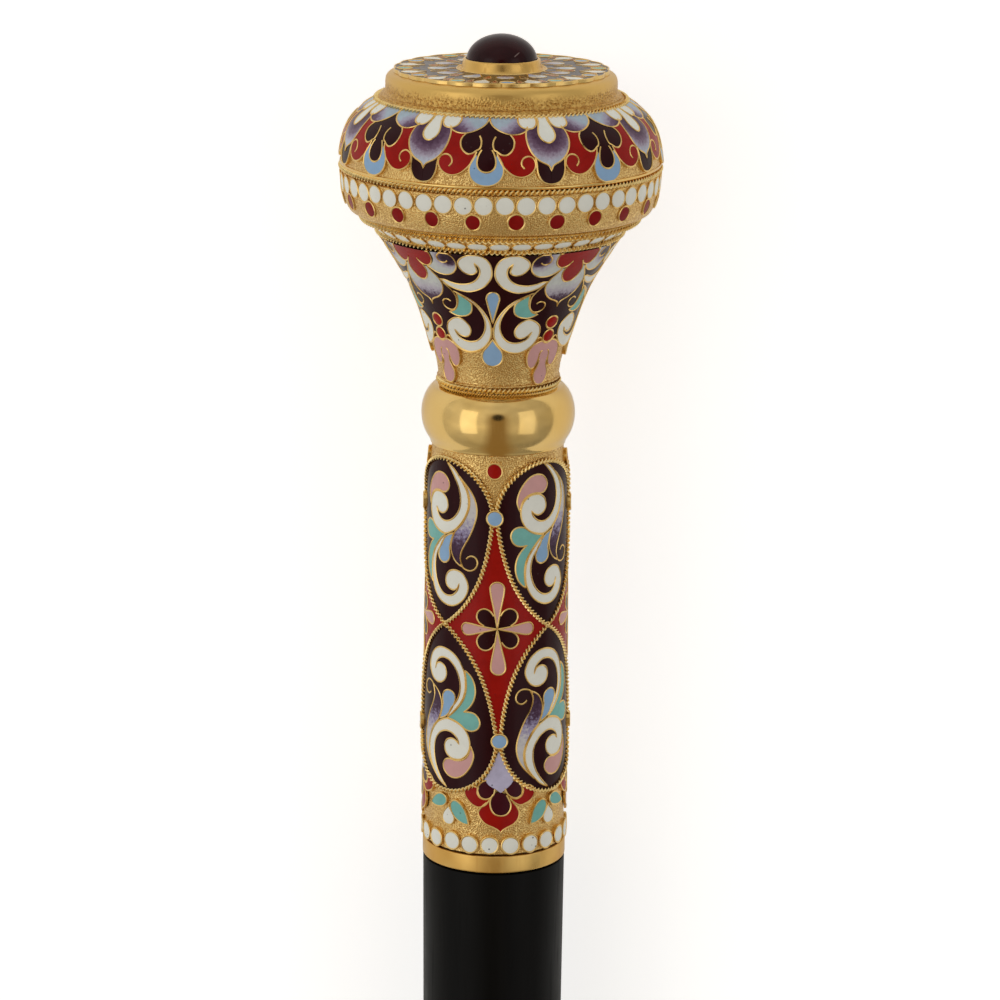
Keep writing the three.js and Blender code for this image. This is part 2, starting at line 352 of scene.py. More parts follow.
finishes = {
    "polish": polishedGold("gold polished", "bright", "pale", 0.12, 0.06, 0.05),
    "satin": polishedGold("gold satin", "warm", "bright", 0.24, 0.15, 0.3),
    "stipple": stippledGold(),
    "wire": wireGold("gold flat wire", "bright", "pale"),
    # the twisted strands take a lighter gold than the flat wires: painted light
    "strand": wireGold("gold strand", "pale", "litStrand"),
    "white": enamel("white", white, 0.03, 0.9),
    "red": enamel("red", linear(158, 22, 15), 0.12, 0.4),
    "blood": enamel("dark red", linear(138, 18, 16), 0.14),
    "aubergine": enamel("aubergine", linear(46, 11, 15), 0.14, 0.2, (0.15, 0.12, 0.12, 1)),
    "blue": enamel("blue", linear(148, 182, 218), 0.06),
    "turquoise": enamel("turquoise", linear(126, 188, 180)),
    "pink": enamel("pink", linear(214, 164, 162), 0.05),
    "lilac": enamel("lilac", linear(192, 186, 212), 0.12, 0.9),
    "maroon": enamel("maroon", linear(66, 16, 26), 0.1, 0.4),
    "frost": enamel("frosted petal", [(0, linear(110, 140, 200)), (0.35, linear(160, 180, 210)),
                                      (0.7, linear(206, 208, 208)), (1, white)], 0.06),
    "heart": enamel("dome heart", [(0, violet), (0.4, linear(122, 98, 120)), (0.72, linear(176, 166, 184)),
                                   (1, linear(190, 200, 216))], 0.1, 0.5),
    "lobe": enamel("dome lobe", [(0, violet), (0.35, linear(118, 94, 120)), (0.68, linear(172, 166, 188)),
                                 (1, linear(172, 190, 204))], 0.1, 0.5),
    "curl": enamel("curled petal", [(0, plum), (0.3, purple), (0.55, linear(186, 178, 192)),
                                    (1, linear(208, 212, 208))], 0.08, 0.4),
    "leaf": enamel("shaded leaf", [(0, plum), (0.36, purple), (0.52, linear(160, 150, 184)),
                                   (0.7, linear(206, 202, 202))], 0.1, 0.4),
}
print("finishes ready")


def corner(point):
    return len(point) > 2 and point[2]


def smoothRun(points, closed=False):
    # centripetal curve through the points
    p = np.array([q[:2] for q in points], float)
    if len(p) < 3:
        return p
    if closed:
        p = np.vstack([p[-1], p, p[:2]])
    else:
        p = np.vstack([2 * p[0] - p[1], p, 2 * p[-1] - p[-2]])
    steps = np.linspace(0, 1, 13)[:-1, None]
    out = []
    for a, b, c, d in zip(p, p[1:], p[2:], p[3:]):
        ab, bc, cd = (max(np.linalg.norm(v), 1e-6) ** 0.5 for v in (b - a, c - b, d - c))
        leave = (c - b) + bc * ((b - a) / ab - (c - a) / (ab + bc))
        arrive = (c - b) + bc * ((d - c) / cd - (d - b) / (bc + cd))
        s2, s3 = steps**2, steps**3
        out.append((2 * s3 - 3 * s2 + 1) * b + (s3 - 2 * s2 + steps) * leave
                   + (3 * s2 - 2 * s3) * c + (s3 - s2) * arrive)
    out.append(p[-2:-1])
    return np.vstack(out)


def spaced(path, step):
    path = np.asarray(path)
    length = np.concatenate([[0], np.cumsum(np.linalg.norm(np.diff(path, axis=0), axis=1))])
    count = max(2, int(round(length[-1] / step)) + 1)
    want = np.linspace(0, length[-1], count)
    return np.stack([np.interp(want, length, path[:, k]) for k in range(path.shape[1])], 1)


def curve(points, closed=True, step=0.24):
    # a smooth outline through a few points, where a third value of 1 marks a corner
    corners = [i for i, q in enumerate(points) if corner(q)]
    if closed and not corners:
        return spaced(smoothRun(points, True), step)[:-1]
    if closed:
        points = points[corners[0]:] + points[:corners[0]] + [points[corners[0]]]
    breaks = [0] + [i for i in range(1, len(points) - 1) if corner(points[i])] + [len(points) - 1]
    runs = []
    for a, b in zip(breaks, breaks[1:]):
        run = spaced(smoothRun(points[a:b + 1]), step)
        runs.append(run[:-1])
    if not closed:
        runs.append(run[-1:])
    return np.vstack(runs)


def mirrored(points, axis=0.0):
    return [(2 * axis - q[0], *q[1:]) for q in points]


def bothSides(half, axis=0.0):
    # a symmetric outline from its half, whose points on the axis aren't doubled
    return half + mirrored([q for q in reversed(half) if abs(q[0] - axis) > 1e-6], axis)


def moved(points, dx=0.0, dy=0.0, scale=1.0, turn=0.0, about=(0.0, 0.0)):
    p = np.asarray(points, float) - about
    c, s = math.cos(turn), math.sin(turn)
    p = np.stack([p[:, 0] * c - p[:, 1] * s, p[:, 0] * s + p[:, 1] * c], 1) * scale
    return p + about + (dx, dy)


def aroundAngles(columns):
    return np.arange(columns) * fullTurn / columns


def disc(x, y, rx, ry=None, step=0.24, turn=0.0):
    ry = ry or rx
    a = aroundAngles(max(10, int(fullTurn * max(rx, ry) / step)))
    return moved(np.stack([rx * np.cos(a), ry * np.sin(a)], 1), x, y, turn=turn)


def tear(length, half, tip):
    # a drop with its point near the origin and its round end away along +y
    top = length - half
    side = [(0, tip, 1), (half * 0.42, tip + (top - tip) * 0.45), (half * 0.93, top - half * 0.25)]
    side += [(half * math.cos(a), top + half * math.sin(a)) for a in (0.45, 1.05)]
    return bothSides(side + [(0, length)])


class Skin:
    # A turned surface laid out flat: x in mm round it at one radius, y in mm up its outline. With
    # `upright`, y is the height t itself.
    def __init__(self, outline, radius, start=None, roll=0.0, lean=0.0, sway=0.0, upright=False):
        fine = spaced(smoothRun(outline), 0.05)
        self.t, self.r = fine[:, 0], fine[:, 1]
        run = np.hypot(np.diff(self.t), np.diff(self.r))
        self.y = np.concatenate([[0], np.cumsum(run)])
        slopeT, slopeR = np.gradient(self.t, self.y), np.gradient(self.r, self.y)
        self.outT, self.outR = -slopeR, slopeT
        if start:
            self.y = self.y - np.interp(start, self.t, self.y)
        if upright:
            self.y = self.t
        self.radius, self.roll, self.lean, self.sway = radius, roll, lean, sway

    def place(self, xy, lift=0.0):
        xy = np.asarray(xy, float)
        t, r, outT, outR = (np.interp(xy[:, 1], self.y, v) for v in (self.t, self.r, self.outT, self.outR))
        t, r = t + outT * lift, r + outR * lift
        angle = (xy[:, 0] + self.roll + self.lean * (40 - t)) / self.radius
        angle = angle + self.sway * (1 + np.sin(angle))
        return onCane(t, r, angle)

    def outward(self, xy):
        step = self.place(xy, 1.0) - self.place(xy, 0.0)
        return step / np.linalg.norm(step, axis=1, keepdims=True)

    def ground(self, *heights):
        # the outline's own points at the given heights
        heights = np.concatenate(heights)
        return np.stack([heights, np.interp(heights, self.t, self.r)], 1)


class Table:
    # the flat top: x to the right and y away from the front, both in mm from the axis
    def __init__(self, level):
        self.level = level

    def place(self, xy, lift=0.0):
        xy = np.asarray(xy, float)
        return onCane(self.level + lift, np.hypot(xy[:, 0], xy[:, 1]), np.arctan2(xy[:, 0], -xy[:, 1]))

    def outward(self, xy):
        return np.broadcast_to(along, (len(xy), 3))


class Piece:
    def __init__(self, name):
        self.name = name
        self.points, self.faces, self.kinds, self.shade = [], [], [], []
        self.count = 0
        self.finishes = []

    def add(self, points, faces, finish, shade=0.0):
        if finish not in self.finishes:
            self.finishes.append(finish)
        self.points.append(points)
        self.faces += [tuple(i + self.count for i in f) for f in faces]
        self.kinds += [self.finishes.index(finish)] * len(faces)
        self.shade.append(np.broadcast_to(shade, len(points)).astype(float))
        self.count += len(points)

    def build(self, slot, *stands, sharp=38):
        mesh = bpy.data.meshes.new(self.name)
        points = np.vstack(self.points)
        points[:, 2] = np.maximum(points[:, 2], 0.0)  # nothing sinks into the floor
        mesh.from_pydata(points.tolist(), [], self.faces)
        mesh.polygons.foreach_set("material_index", self.kinds)
        mesh.polygons.foreach_set("use_smooth", [True] * len(self.faces))
        carried = mesh.attributes.new("shade", "FLOAT", "POINT")
        carried.data.foreach_set("value", np.concatenate(self.shade))
        for finish in self.finishes:
            mesh.materials.append(finishes[finish])
        mesh.update()
        mesh.validate()
        mesh.set_sharp_from_angle(angle=math.radians(sharp))
        made = bpy.data.objects.new(self.name, mesh)
        bpy.context.collection.objects.link(made)
        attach(made, "root")
        if stands:
            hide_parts(*stands)
        triangles = sum(len(p.vertices) - 2 for p in mesh.polygons)
        print(f"  {self.name}: {triangles} triangles")


def grid(rows, columns):
    # the faces between rings of points, each ring closed
    return [(i * columns + j, i * columns + (j + 1) % columns,
             (i + 1) * columns + (j + 1) % columns, (i + 1) * columns + j)
            for i in range(rows - 1) for j in range(columns)]


def tube(rows, columns, closed, inward=False):
    # the same, with its last ring joined to the first or both ends capped
    faces = grid(rows, columns)
    last = (rows - 1) * columns
    if closed:
        faces += [(last + j, last + (j + 1) % columns, (j + 1) % columns, j) for j in range(columns)]
    else:
        faces += [tuple(reversed(range(columns))), tuple(range(last, last + columns))]
    return [tuple(reversed(f)) for f in faces] if inward else faces


def spin(piece, path, finish, columns, grain=0.0):
    # a turned shell; `grain` roughens it as punching does
    path = np.asarray(path, float)
    t, r = np.repeat(path[:, 0], columns), np.repeat(path[:, 1], columns)
    if grain:
        r = r + chance.normal(0, grain, len(r))
    angle = np.tile(aroundAngles(columns), len(path))
    piece.add(onCane(t, r, angle), tube(len(path), columns, False), finish)


def inside(loop, spots):
    x, y = spots[:, 0][:, None], spots[:, 1][:, None]
    x0, y0 = loop[:, 0], loop[:, 1]
    x1, y1 = np.roll(x0, -1), np.roll(y0, -1)
    crosses = (y0 > y) != (y1 > y)
    level = y1 - y0
    level = np.where(abs(level) < 1e-12, 1e-12, level)
    return (crosses & (x < (x1 - x0) * (y - y0) / level + x0)).sum(1) % 2 == 1


def nearest(loop, spots):
    return np.sqrt(((spots[:, None, :] - loop[None]) ** 2).sum(2).min(1))


def pour(piece, skin, loop, lift, finish, shade, grain, dome):
    # enamel filling an outline, its points `grain` apart and its surface following the skin under it
    low, high = loop.min(0), loop.max(0)
    xs = np.arange(low[0], high[0], grain)
    ys = np.arange(low[1], high[1], grain * 0.87)
    spots = np.array([(x + (k % 2) * grain / 2, y) for k, y in enumerate(ys) for x in xs])
    if len(spots):
        spots = spots[inside(loop, spots)]
    if len(spots):
        spots = spots[nearest(loop, spots) > grain * 0.35]
    given = np.vstack([loop, spots]) if len(spots) else loop
    border = list(range(len(loop)))
    made = geometry.delaunay_2d_cdt([Vector(p) for p in given], [], [border], 1, 1e-5)
    flat = np.array([tuple(v) for v in made[0]])
    faces = []
    for a, b, c in made[2]:
        turn = np.cross(flat[b] - flat[a], flat[c] - flat[a])
        if abs(turn) > 1e-9:
            faces.append((a, b, c) if turn > 0 else (a, c, b))
    depth = nearest(loop, flat)
    height = lift + dome * (1 - np.exp(-depth / 0.6))
    value = np.clip(shade(flat), 0, 1) if shade else 0.0
    piece.add(skin.place(flat, height), faces, finish, value)


def unit(vectors):
    return vectors / np.maximum(np.linalg.norm(vectors, axis=1, keepdims=True), 1e-12)


wireSet = dict(half=0.13, crest=0.1)  # half the wire's width, and how far its edge stands proud


def strip(piece, skin, path, lift, depth, closed=True, half=None, crest=None):
    # a flat gilt wire on edge, standing round a cell
    half, crest = half or wireSet["half"], crest or wireSet["crest"]
    spots = skin.place(path, 0.0)
    out = skin.outward(path)
    ahead = np.roll(spots, -1, 0) - np.roll(spots, 1, 0)
    if not closed:
        ahead[0], ahead[-1] = spots[1] - spots[0], spots[-1] - spots[-2]
    across = unit(np.cross(ahead, out))
    section = [(-half, -depth), (half, -depth), (half * 0.92, 0.02), (0, crest), (-half * 0.92, 0.02)]
    rings = np.stack([spots + (out * (lift + up) + across * side) / 1000 for side, up in section], 1)
    piece.add(rings.reshape(-1, 3), tube(len(path), len(section), closed, inward=True), "wire")


ropeSet = dict(strand=0.17, apart=0.19, pitch=1.2, steps=9, sides=5)


def twist(piece, skin, path, lift, scale):
    # two strands twisted together and laid along a closed path, whose last point is its first
    pitch, sides = ropeSet["pitch"] * scale, ropeSet["sides"]
    apart, radius = ropeSet["apart"] * scale, ropeSet["strand"] * scale / 1000
    path = spaced(path, pitch / ropeSet["steps"])
    spots = skin.place(path, 0.0)
    out = skin.outward(path)
    ahead = np.gradient(spots, axis=0)
    ahead[0] = ahead[-1] = ahead[0] + ahead[-1]
    across = unit(np.cross(ahead, out))
    run = np.concatenate([[0], np.cumsum(np.linalg.norm(np.diff(spots, axis=0), axis=1))]) * 1000
    phase = -run / run[-1] * round(run[-1] / pitch) * fullTurn
    section = aroundAngles(sides)[None, :, None]
    for start in (0, math.pi):
        a = (phase + start)[:, None]
        middle = spots + (out * (lift + apart * np.cos(a)) + across * (apart * np.sin(a))) / 1000
        around = out[:, None] * np.cos(section) + across[:, None] * np.sin(section)
        strand = (middle[:, None] + radius * around)[:-1]
        piece.add(strand.reshape(-1, 3), tube(len(strand), sides, True), "strand")


def ropeRound(piece, t, r, scale):
    # a twisted wire right round the handle, at a height t and a radius r, and so many times the common size
    hoop = Skin([(t - 1, r), (t + 1, r)], r, upright=True)
    twist(piece, hoop, [(0, t), (fullTurn * r, t)], 0.0, scale)


layoutSet = dict(step=0.26, fill=0.8, shadedFill=0.42, dotFill=0.5, dotSink=0.02, root=0.12, ropeLift=0.05)


class Layout:
    # draws a motif's cells and wires on a surface, wherever `at` last put the motif
    def __init__(self, body, wires, skin, high, layer=0.03, half=None, crest=None):
        self.body, self.wires, self.skin, self.high, self.layer = body, wires, skin, high, layer
        self.half, self.crest = half, crest
        self.at()

    def at(self, dx=0.0, dy=0.0, scale=1.0, turn=0.0, about=(0.0, 0.0), flip=False):
        self.shift, self.scale, self.turn = np.array((dx, dy)), scale, turn
        self.about, self.flip = np.array(about, float), flip

    def forward(self, path):
        p = np.array(path, float)
        if self.flip:
            p[:, 0] = 2 * self.about[0] - p[:, 0]
        return moved(p, *self.shift, self.scale, self.turn, self.about)

    def backward(self, spots):
        p = moved(spots - self.shift, 0, 0, 1 / self.scale, -self.turn, self.about)
        if self.flip:
            p[:, 0] = 2 * self.about[0] - p[:, 0]
        return p

    def path(self, points, closed=True):
        drawn = points if isinstance(points, np.ndarray) else curve(points, closed, layoutSet["step"])
        return self.forward(drawn)

    def cell(self, finish, points, level=1, edge=True, shade=None, dome=0.0):
        # `edge` lays a wire along the whole outline, and `shade` gives each point its place on the ramp
        loop = self.path(points)
        lift = self.high + self.layer * level
        fill = layoutSet["shadedFill" if shade else "fill"]
        value = (lambda flat: shade(self.backward(flat))) if shade else None
        pour(self.body, self.skin, loop, lift, finish, value, fill, dome)
        if edge:
            depth = self.high + layoutSet["root"]
            strip(self.wires, self.skin, loop, lift, depth, half=self.half, crest=self.crest)

    def line(self, points, level=1, closed=False, half=None, deep=0.3):
        path = self.path(points, closed)
        strip(self.wires, self.skin, path, self.high + self.layer * level, deep, closed, half)

    def rope(self, path, scale):
        path = self.forward(np.vstack([path, path[:1]]))
        twist(self.wires, self.skin, path, self.high + layoutSet["ropeLift"], scale)

    def dot(self, finish, x, y, radius, tall=None, rim=0.14, level=1, dome=0.12):
        # a round cell: `radius` is that of its wire's middle
        wobble = 1 + jitter(0.02)
        turn = 0 if tall else chance.uniform(0, 3)
        path = disc(x, y, radius * wobble, (tall or radius) * (1 + jitter(0.02)), turn=turn)
        lift = self.high + self.layer * level
        loop = self.forward(path)
        sink, fill = layoutSet["dotSink"], layoutSet["dotFill"]
        pour(self.body, self.skin, loop, lift - sink, finish, None, fill, dome)
        strip(self.wires, self.skin, loop, lift, self.high + layoutSet["root"], half=rim)


print("tools ready")


shaftSet = dict(columns=96, foot=36.3, top=789.7, footRadius=6.46, topRadius=11.27, rings=60)
ferruleSet = dict(lines=(30.5, 31.7, 32.9), cut=0.12, width=0.28, radius=6.3, taper=0.4 / 34.8, columns=96)
ferruleToe = [(0, 5.4), (0.12, 5.68), (0.35, 5.98), (0.7, 6.27), (1.2, 6.3)]
ferruleTop = [(35.3, 6.68), (35.7, 6.64), (35.95, 6.5), (36, 6.3)]
collarOutline = [(0, 11.12), (0.03, 11.25), (0.12, 11.33), (0.3, 11.35), (1.4, 11.35), (2.5, 11.35),
    (2.68, 11.33), (2.77, 11.25), (2.8, 11.1)]


def lacquer():
    wire = Finish("black lacquer", {"Specular IOR Level": 0.08})
    grainPlace = wire.stretched(wire.place(), (14, 260, 260))
    streak = wire.between(wire.noise(grainPlace, 1.0, 5.0, 0.6), 0.3, 0.72)
    colour = wire.blend(streak, (0.0022, 0.0021, 0.002, 1), (0.005, 0.0045, 0.004, 1))
    worn = wire.handled(0.1, 0.08)["Roughness Gain"]
    rough = wire.maths("ADD", wire.between(streak, 0.0, 1.0, 0.34, 0.44), worn)
    return wire.dress(colour, rough, streak, 0.00003, 0.35)


def brushedBrass():
    wire = Finish("worn brass", {"Metallic": 1.0})
    place = wire.place()
    turned = wire.noise(wire.stretched(place, (2600, 60, 60)), 1.0, 3.0)
    tone = wire.between(wire.noise(place, 160.0, 4.0, 0.6), 0.35, 0.7)
    colour = wire.blend(tone, (0.42, 0.28, 0.11, 1), (0.62, 0.45, 0.2, 1))
    return wire.dress(colour, wire.between(turned, 0.3, 0.7, 0.26, 0.48), turned, 0.00003, 0.4)


finishes["black"] = lacquer()
finishes["brass"] = brushedBrass()


def makeShaft():
    s = shaftSet
    lower, upper = s["foot"] - shaftLength, s["top"] - shaftLength
    heights = np.linspace(lower + 0.5, upper - 0.3, s["rings"])
    radii = s["footRadius"] + (s["topRadius"] - s["footRadius"]) * (heights - lower) / (upper - lower)
    foot = [(lower, s["footRadius"] - 0.4), (lower + 0.15, s["footRadius"] - 0.1)]
    head = [(upper - 0.08, s["topRadius"] - 0.06), (upper, s["topRadius"] - 0.25)]
    piece = Piece("ebonisedShaft")
    spin(piece, np.vstack([foot, np.stack([heights, radii], 1), head]), "black", s["columns"])
    piece.build("black_lacquer", "shaft")


def makeFerrule():
    s = ferruleSet
    width, cut = s["width"], s["cut"]

    def slope(h):
        return s["radius"] + s["taper"] * (h - 0.6)

    points = list(ferruleToe)
    for line in s["lines"]:  # three turned grooves
        points += [(line - width, slope(line - width)), (line - width / 2, slope(line) - cut),
                   (line + width / 2, slope(line) - cut), (line + width, slope(line + width))]
    piece = Piece("toeFerrule")
    spin(piece, [(h - shaftLength, r) for h, r in points + ferruleTop], "brass", s["columns"])
    piece.build("brass", "ferrule", sharp=25)


def makeCollar():
    piece = Piece("polishedCollar")
    spin(piece, collarOutline, "satin", 128)
    piece.build("gilt", "end_collar")


makeShaft()
makeFerrule()
makeCollar()
print("shaft ready")

# the grip has eight oval panels, four lozenges and four palmettes
gripSet = dict(
    rise=0.42, columns=320, grain=0.018, radius=11.4, foot=3.1, fineTo=17, fineFrom=55, head=67.6, fine=0.3,
    coarse=1.9, discs=22, discRadius=1.38, discLevel=4.62, ropeScale=1.17, panelMiddle=53, rowsApart=26.2,
    panelHalf=8.66, panelShoulder=57.7, panelRises=(8.4, 9.25), lozengeMiddle=39.9, lozengeTips=(8.95, 57.4),
    sway={1: 0.37, 2: -0.37, 6: -0.3}, sunk={1: 0.35, 4: 0.4, 5: 0.4, 6: 0.4, 7: 0.4},
    flowerAside=0.12, flowerLevel=40, flowerPetals=((0, 7.5, 1.18), (math.pi, 7.4, 1.22), (1.571, 5.9, 1.0),
    (-1.571, 5.95, 1.02)), dots=(("red", 0.05, 65, 1.28, 1), ("blue", 0, 57.7, 1.22, 16),
    ("blue", 0.1, 21.9, 1.22, 16)))
gripGround = [(3.1, 11.1), (10, 11.04), (20, 10.95), (30, 10.86), (40, 10.77), (50, 10.68), (58, 10.6),
    (63.4, 10.55), (65, 10.42), (66.4, 10.27), (67.6, 10.25)]
gripSkin = Skin(gripGround, gripSet["radius"], roll=0.13, lean=0.026, upright=True)
quarter = gripSet["radius"] * math.pi / 2  # from one lozenge to the next

panelSide = [(8.45, 56), (8.05, 53.5), (7.3, 50.3), (6.1, 47), (3.98, 43.5), (1.45, 40.9), (0, 39.9)]
upperScroll = [(-2.55, 58.55, 1), (-2.08, 58.05), (-1.23, 57.8), (-0.38, 58.1), (0.17, 58.8),
    (0.22, 59.6), (-0.13, 60.4), (-0.88, 60.95), (-1.78, 61.1), (-2.88, 60.9), (-3.78, 60.2),
    (-4.28, 59.3), (-4.43, 58.2), (-4.23, 57.1), (-3.68, 56.1), (-2.78, 55.35), (-1.58, 54.9),
    (-0.28, 54.75), (0.58, 55.05), (1.78, 55.75), (2.88, 56.9), (3.68, 58.2), (4.13, 59.5), (4.18, 60.8),
    (3.88, 62), (3.28, 63.1), (2.48, 64.1), (1.48, 65.1), (-0.2, 66, 1), (0.6, 65.2), (1.45, 64.2),
    (2.25, 62.9), (2.7, 61.5), (2.8, 60.3), (2.55, 59), (2, 58.05), (1.1, 57.2), (0, 56.75), (-1, 56.78),
    (-1.8, 57.2), (-2.35, 57.85)]
pinkPetal = [(-4.6, 58.6, 1), (-5.03, 60), (-4.78, 61.3), (-4.08, 62.6), (-2.98, 63.7), (-1.68, 64.15),
    (-0.38, 63.9), (0.47, 63), (0.52, 62.2), (-0.08, 61.4), (-0.88, 61.2), (-1.78, 61.3), (-3.08, 61.05),
    (-4.05, 60.25)]
leafOuter = [(2.28, 64.4, 1), (3.58, 63.2), (4.58, 62.1), (5.28, 60.8), (5.58, 59.4), (5.53, 58.2),
    (5.18, 56.9), (4.68, 55.6), (4.08, 54.4), (3.48, 53.4), (2.9, 52.2), (2.73, 51.1)]
shadedLeaf = leafOuter + [(3.18, 49.9, 1), (2.3, 50.3), (1.68, 50.8), (1.18, 51.6), (0.93, 52.5),
    (0.98, 53.4), (1.28, 54.4), (1.75, 55.4, 1), (3, 56.7), (3.85, 58.15), (4.33, 59.5), (4.38, 60.85),
    (4.05, 62.1), (3.3, 63.3)]
leafTendril = [(2.83, 50.4), (3.3, 49.8), (3.88, 49.55), (4.48, 49.5), (5.18, 49.8), (5.63, 50.5),
    (5.63, 51.2), (5.28, 51.7), (4.68, 51.85), (4.18, 51.65), (3.83, 51.3)]
bluePetal = [(1.5, 55.1, 1), (0, 54.4), (-1, 53.3), (-1.6, 52.2), (-1.9, 51.3), (-1.7, 50.5),
    (-1.1, 50.1), (-0.6, 50.05), (0.1, 50.3), (0.6, 50.9), (0.7, 51.6), (0.6, 52.4), (0.8, 53.4),
    (1.15, 54.4)]
turquoiseLeaf = [(-0.25, 54.6, 1), (-1.68, 54.8), (-2.68, 55.2), (-3.38, 55.7), (-3.78, 55.95),
    (-4.38, 56.1), (-5.08, 56.05), (-5.78, 55.6), (-6.08, 54.8), (-5.88, 53.9), (-5.28, 53.25),
    (-4.38, 53.05), (-3.4, 53.15, 1), (-3.78, 52.9), (-4.48, 52.2), (-5.08, 51.2), (-5.38, 50),
    (-5.33, 48.8), (-4.98, 47.7), (-4.38, 46.9), (-3.68, 46.4, 1), (-3.83, 47.5), (-3.9, 48.5),
    (-3.85, 49.6), (-3.55, 50.8), (-2.95, 51.9), (-2.1, 52.95), (-1.28, 53.8)]
lowerScroll = [(-0.3, 54.6, 1), (-1.18, 53.75), (-2, 52.85), (-2.8, 51.85), (-3.4, 50.7), (-3.7, 49.5),
    (-3.75, 48.3), (-3.65, 47.2), (-3.3, 46.1), (-2.7, 45.05), (-1.85, 44.2), (-0.8, 43.65),
    (0.35, 43.42), (1.5, 43.55), (2.5, 44.05), (3.4, 44.9), (3.95, 45.95), (4.1, 47.05), (3.75, 48.1),
    (3.05, 48.9), (2.1, 49.25), (1.15, 49.15), (0.4, 48.7), (-0.05, 48), (-0.15, 47.2), (0.15, 46.5),
    (0.75, 46.1), (1.5, 46.05), (2.15, 46.4), (2.5, 47.2, 1), (2.3, 46.3), (1.95, 45.75), (1.3, 45.2),
    (0.4, 44.95), (-0.6, 45.1), (-1.55, 45.75), (-2.3, 46.8), (-2.7, 48), (-2.85, 49.2), (-2.7, 50.3),
    (-2.3, 51.3), (-1.8, 52.05), (-1.1, 52.9)]
kite = [(0, 20.3, 1), (0.35, 19.6), (0.85, 18.4), (1.55, 17), (2.4, 15.8, 1), (1.7, 14.8), (1, 14.2),
    (0.2, 13.6, 1), (-0.6, 14.2), (-1.6, 14.8), (-2.3, 15.8, 1), (-1.5, 17), (-0.85, 18.4), (-0.35, 19.6)]
maroonLobes = [
    [(-2, 15.6, 1), (-2.7, 15.3), (-3.4, 14.4), (-3.4, 13.6), (-3, 12.8), (-2.2, 12.5), (-1.5, 12.7),
     (-0.9, 13.3), (-0.7, 14.2, 1), (-1.4, 14.9)],
    [(2.1, 15.7, 1), (2.9, 15.3), (3.4, 14.8), (3.7, 13.9), (3.5, 13.1), (2.7, 12.65), (1.8, 12.9),
     (1.2, 13.5), (0.9, 14.3, 1), (1.6, 14.9)]]
darkLobe = [(0.1, 13.7, 1), (-0.9, 13.4), (-1.3, 12.8), (-1.5, 11.8), (-1.3, 10.8), (-0.8, 10.1),
    (0.1, 9.8), (1, 10), (1.6, 10.7), (1.75, 11.6), (1.45, 12.5), (1.1, 13.2)]
redWings = [
    [(-3.3, 14.3, 1), (-4.4, 14.5), (-5.4, 14.1), (-5.6, 13.2), (-5, 12.1), (-4.2, 11.4), (-3.3, 11.1),
     (-2.3, 11.5), (-1.7, 12.2), (-1.5, 12.6, 1), (-2.3, 12.45), (-3.1, 12.75), (-3.5, 13.5)],
    [(3.6, 14.4, 1), (4.5, 14.6), (5.3, 14.3), (5.8, 13.7), (5.8, 13), (5.2, 12.1), (4.2, 11.6),
     (3.3, 11.4), (2.6, 11.7), (1.9, 12.3), (1.6, 12.8, 1), (2.7, 12.5), (3.6, 13), (3.85, 13.9)]]
redHeart = [(-2, 12, 1), (-3, 11), (-3.4, 10.2), (-3, 9.2), (-2.2, 8.4), (-1.1, 7.9), (-0.3, 7.4),
    (0.05, 7, 1), (0.4, 7.4), (1.2, 7.9), (2.2, 8.4), (2.9, 9.2), (3.1, 10.2), (2.7, 11.2), (2.1, 12, 1),
    (1, 12.6), (-1, 12.6)]
footLeaves = [
    [(-12.8, 9.9, 1), (-11.9, 11.1), (-10.8, 11.9), (-9.8, 12), (-9.1, 11.6), (-9, 10.9), (-9.4, 10.3),
     (-10.2, 9.9), (-11.4, 9.7)],
    [(-5, 7.8, 1), (-5.2, 8.9), (-5.75, 10.3), (-6.6, 11.2), (-7.5, 11.45), (-8.15, 10.85), (-8.1, 9.8),
     (-7.5, 8.8), (-6.6, 8.15), (-5.8, 7.85)]]
footDrop = [(-8.6, 10.3, 1), (-8.15, 9.7), (-7.6, 8.9), (-7.55, 8.1), (-8, 7.45), (-8.7, 7.25),
    (-9.4, 7.45), (-9.85, 8.1), (-9.7, 8.9), (-9.15, 9.7)]
darkPetal = bothSides([(0, 0.1, 1), (0.72, 1), (1.16, 1.9), (1.32, 2.85), (0.95, 3.75), (0, 4.15)])
lozengeSide = [(0.35, 57), (0.85, 54), (1.65, 50.3), (2.85, 47), (4.97, 43.5), (7.5, 40.9)]


def panelLoop(rise):
    # an oval with a rounder end, closed at the other by a point
    half, shoulder, foot = gripSet["panelHalf"], gripSet["panelShoulder"], gripSet["lozengeMiddle"]
    arch = [(half * math.sin(a), shoulder + rise * math.cos(a)) for a in np.linspace(-1.57, 1.57, 15)]
    return [*reversed(arch), *mirrored(panelSide)[:-1], (0, foot, 1), *reversed(panelSide[:-1])]


def leafShade(flat):
    return (flat[:, 1] - 49.5) / 12


def drawPanel(lay):
    lay.cell("white", upperScroll)
    lay.cell("pink", pinkPetal)
    lay.cell("leaf", shadedLeaf, shade=leafShade)
    lay.cell("blue", bluePetal)
    lay.cell("turquoise", turquoiseLeaf)
    lay.cell("white", lowerScroll)
    lay.line(leafTendril)


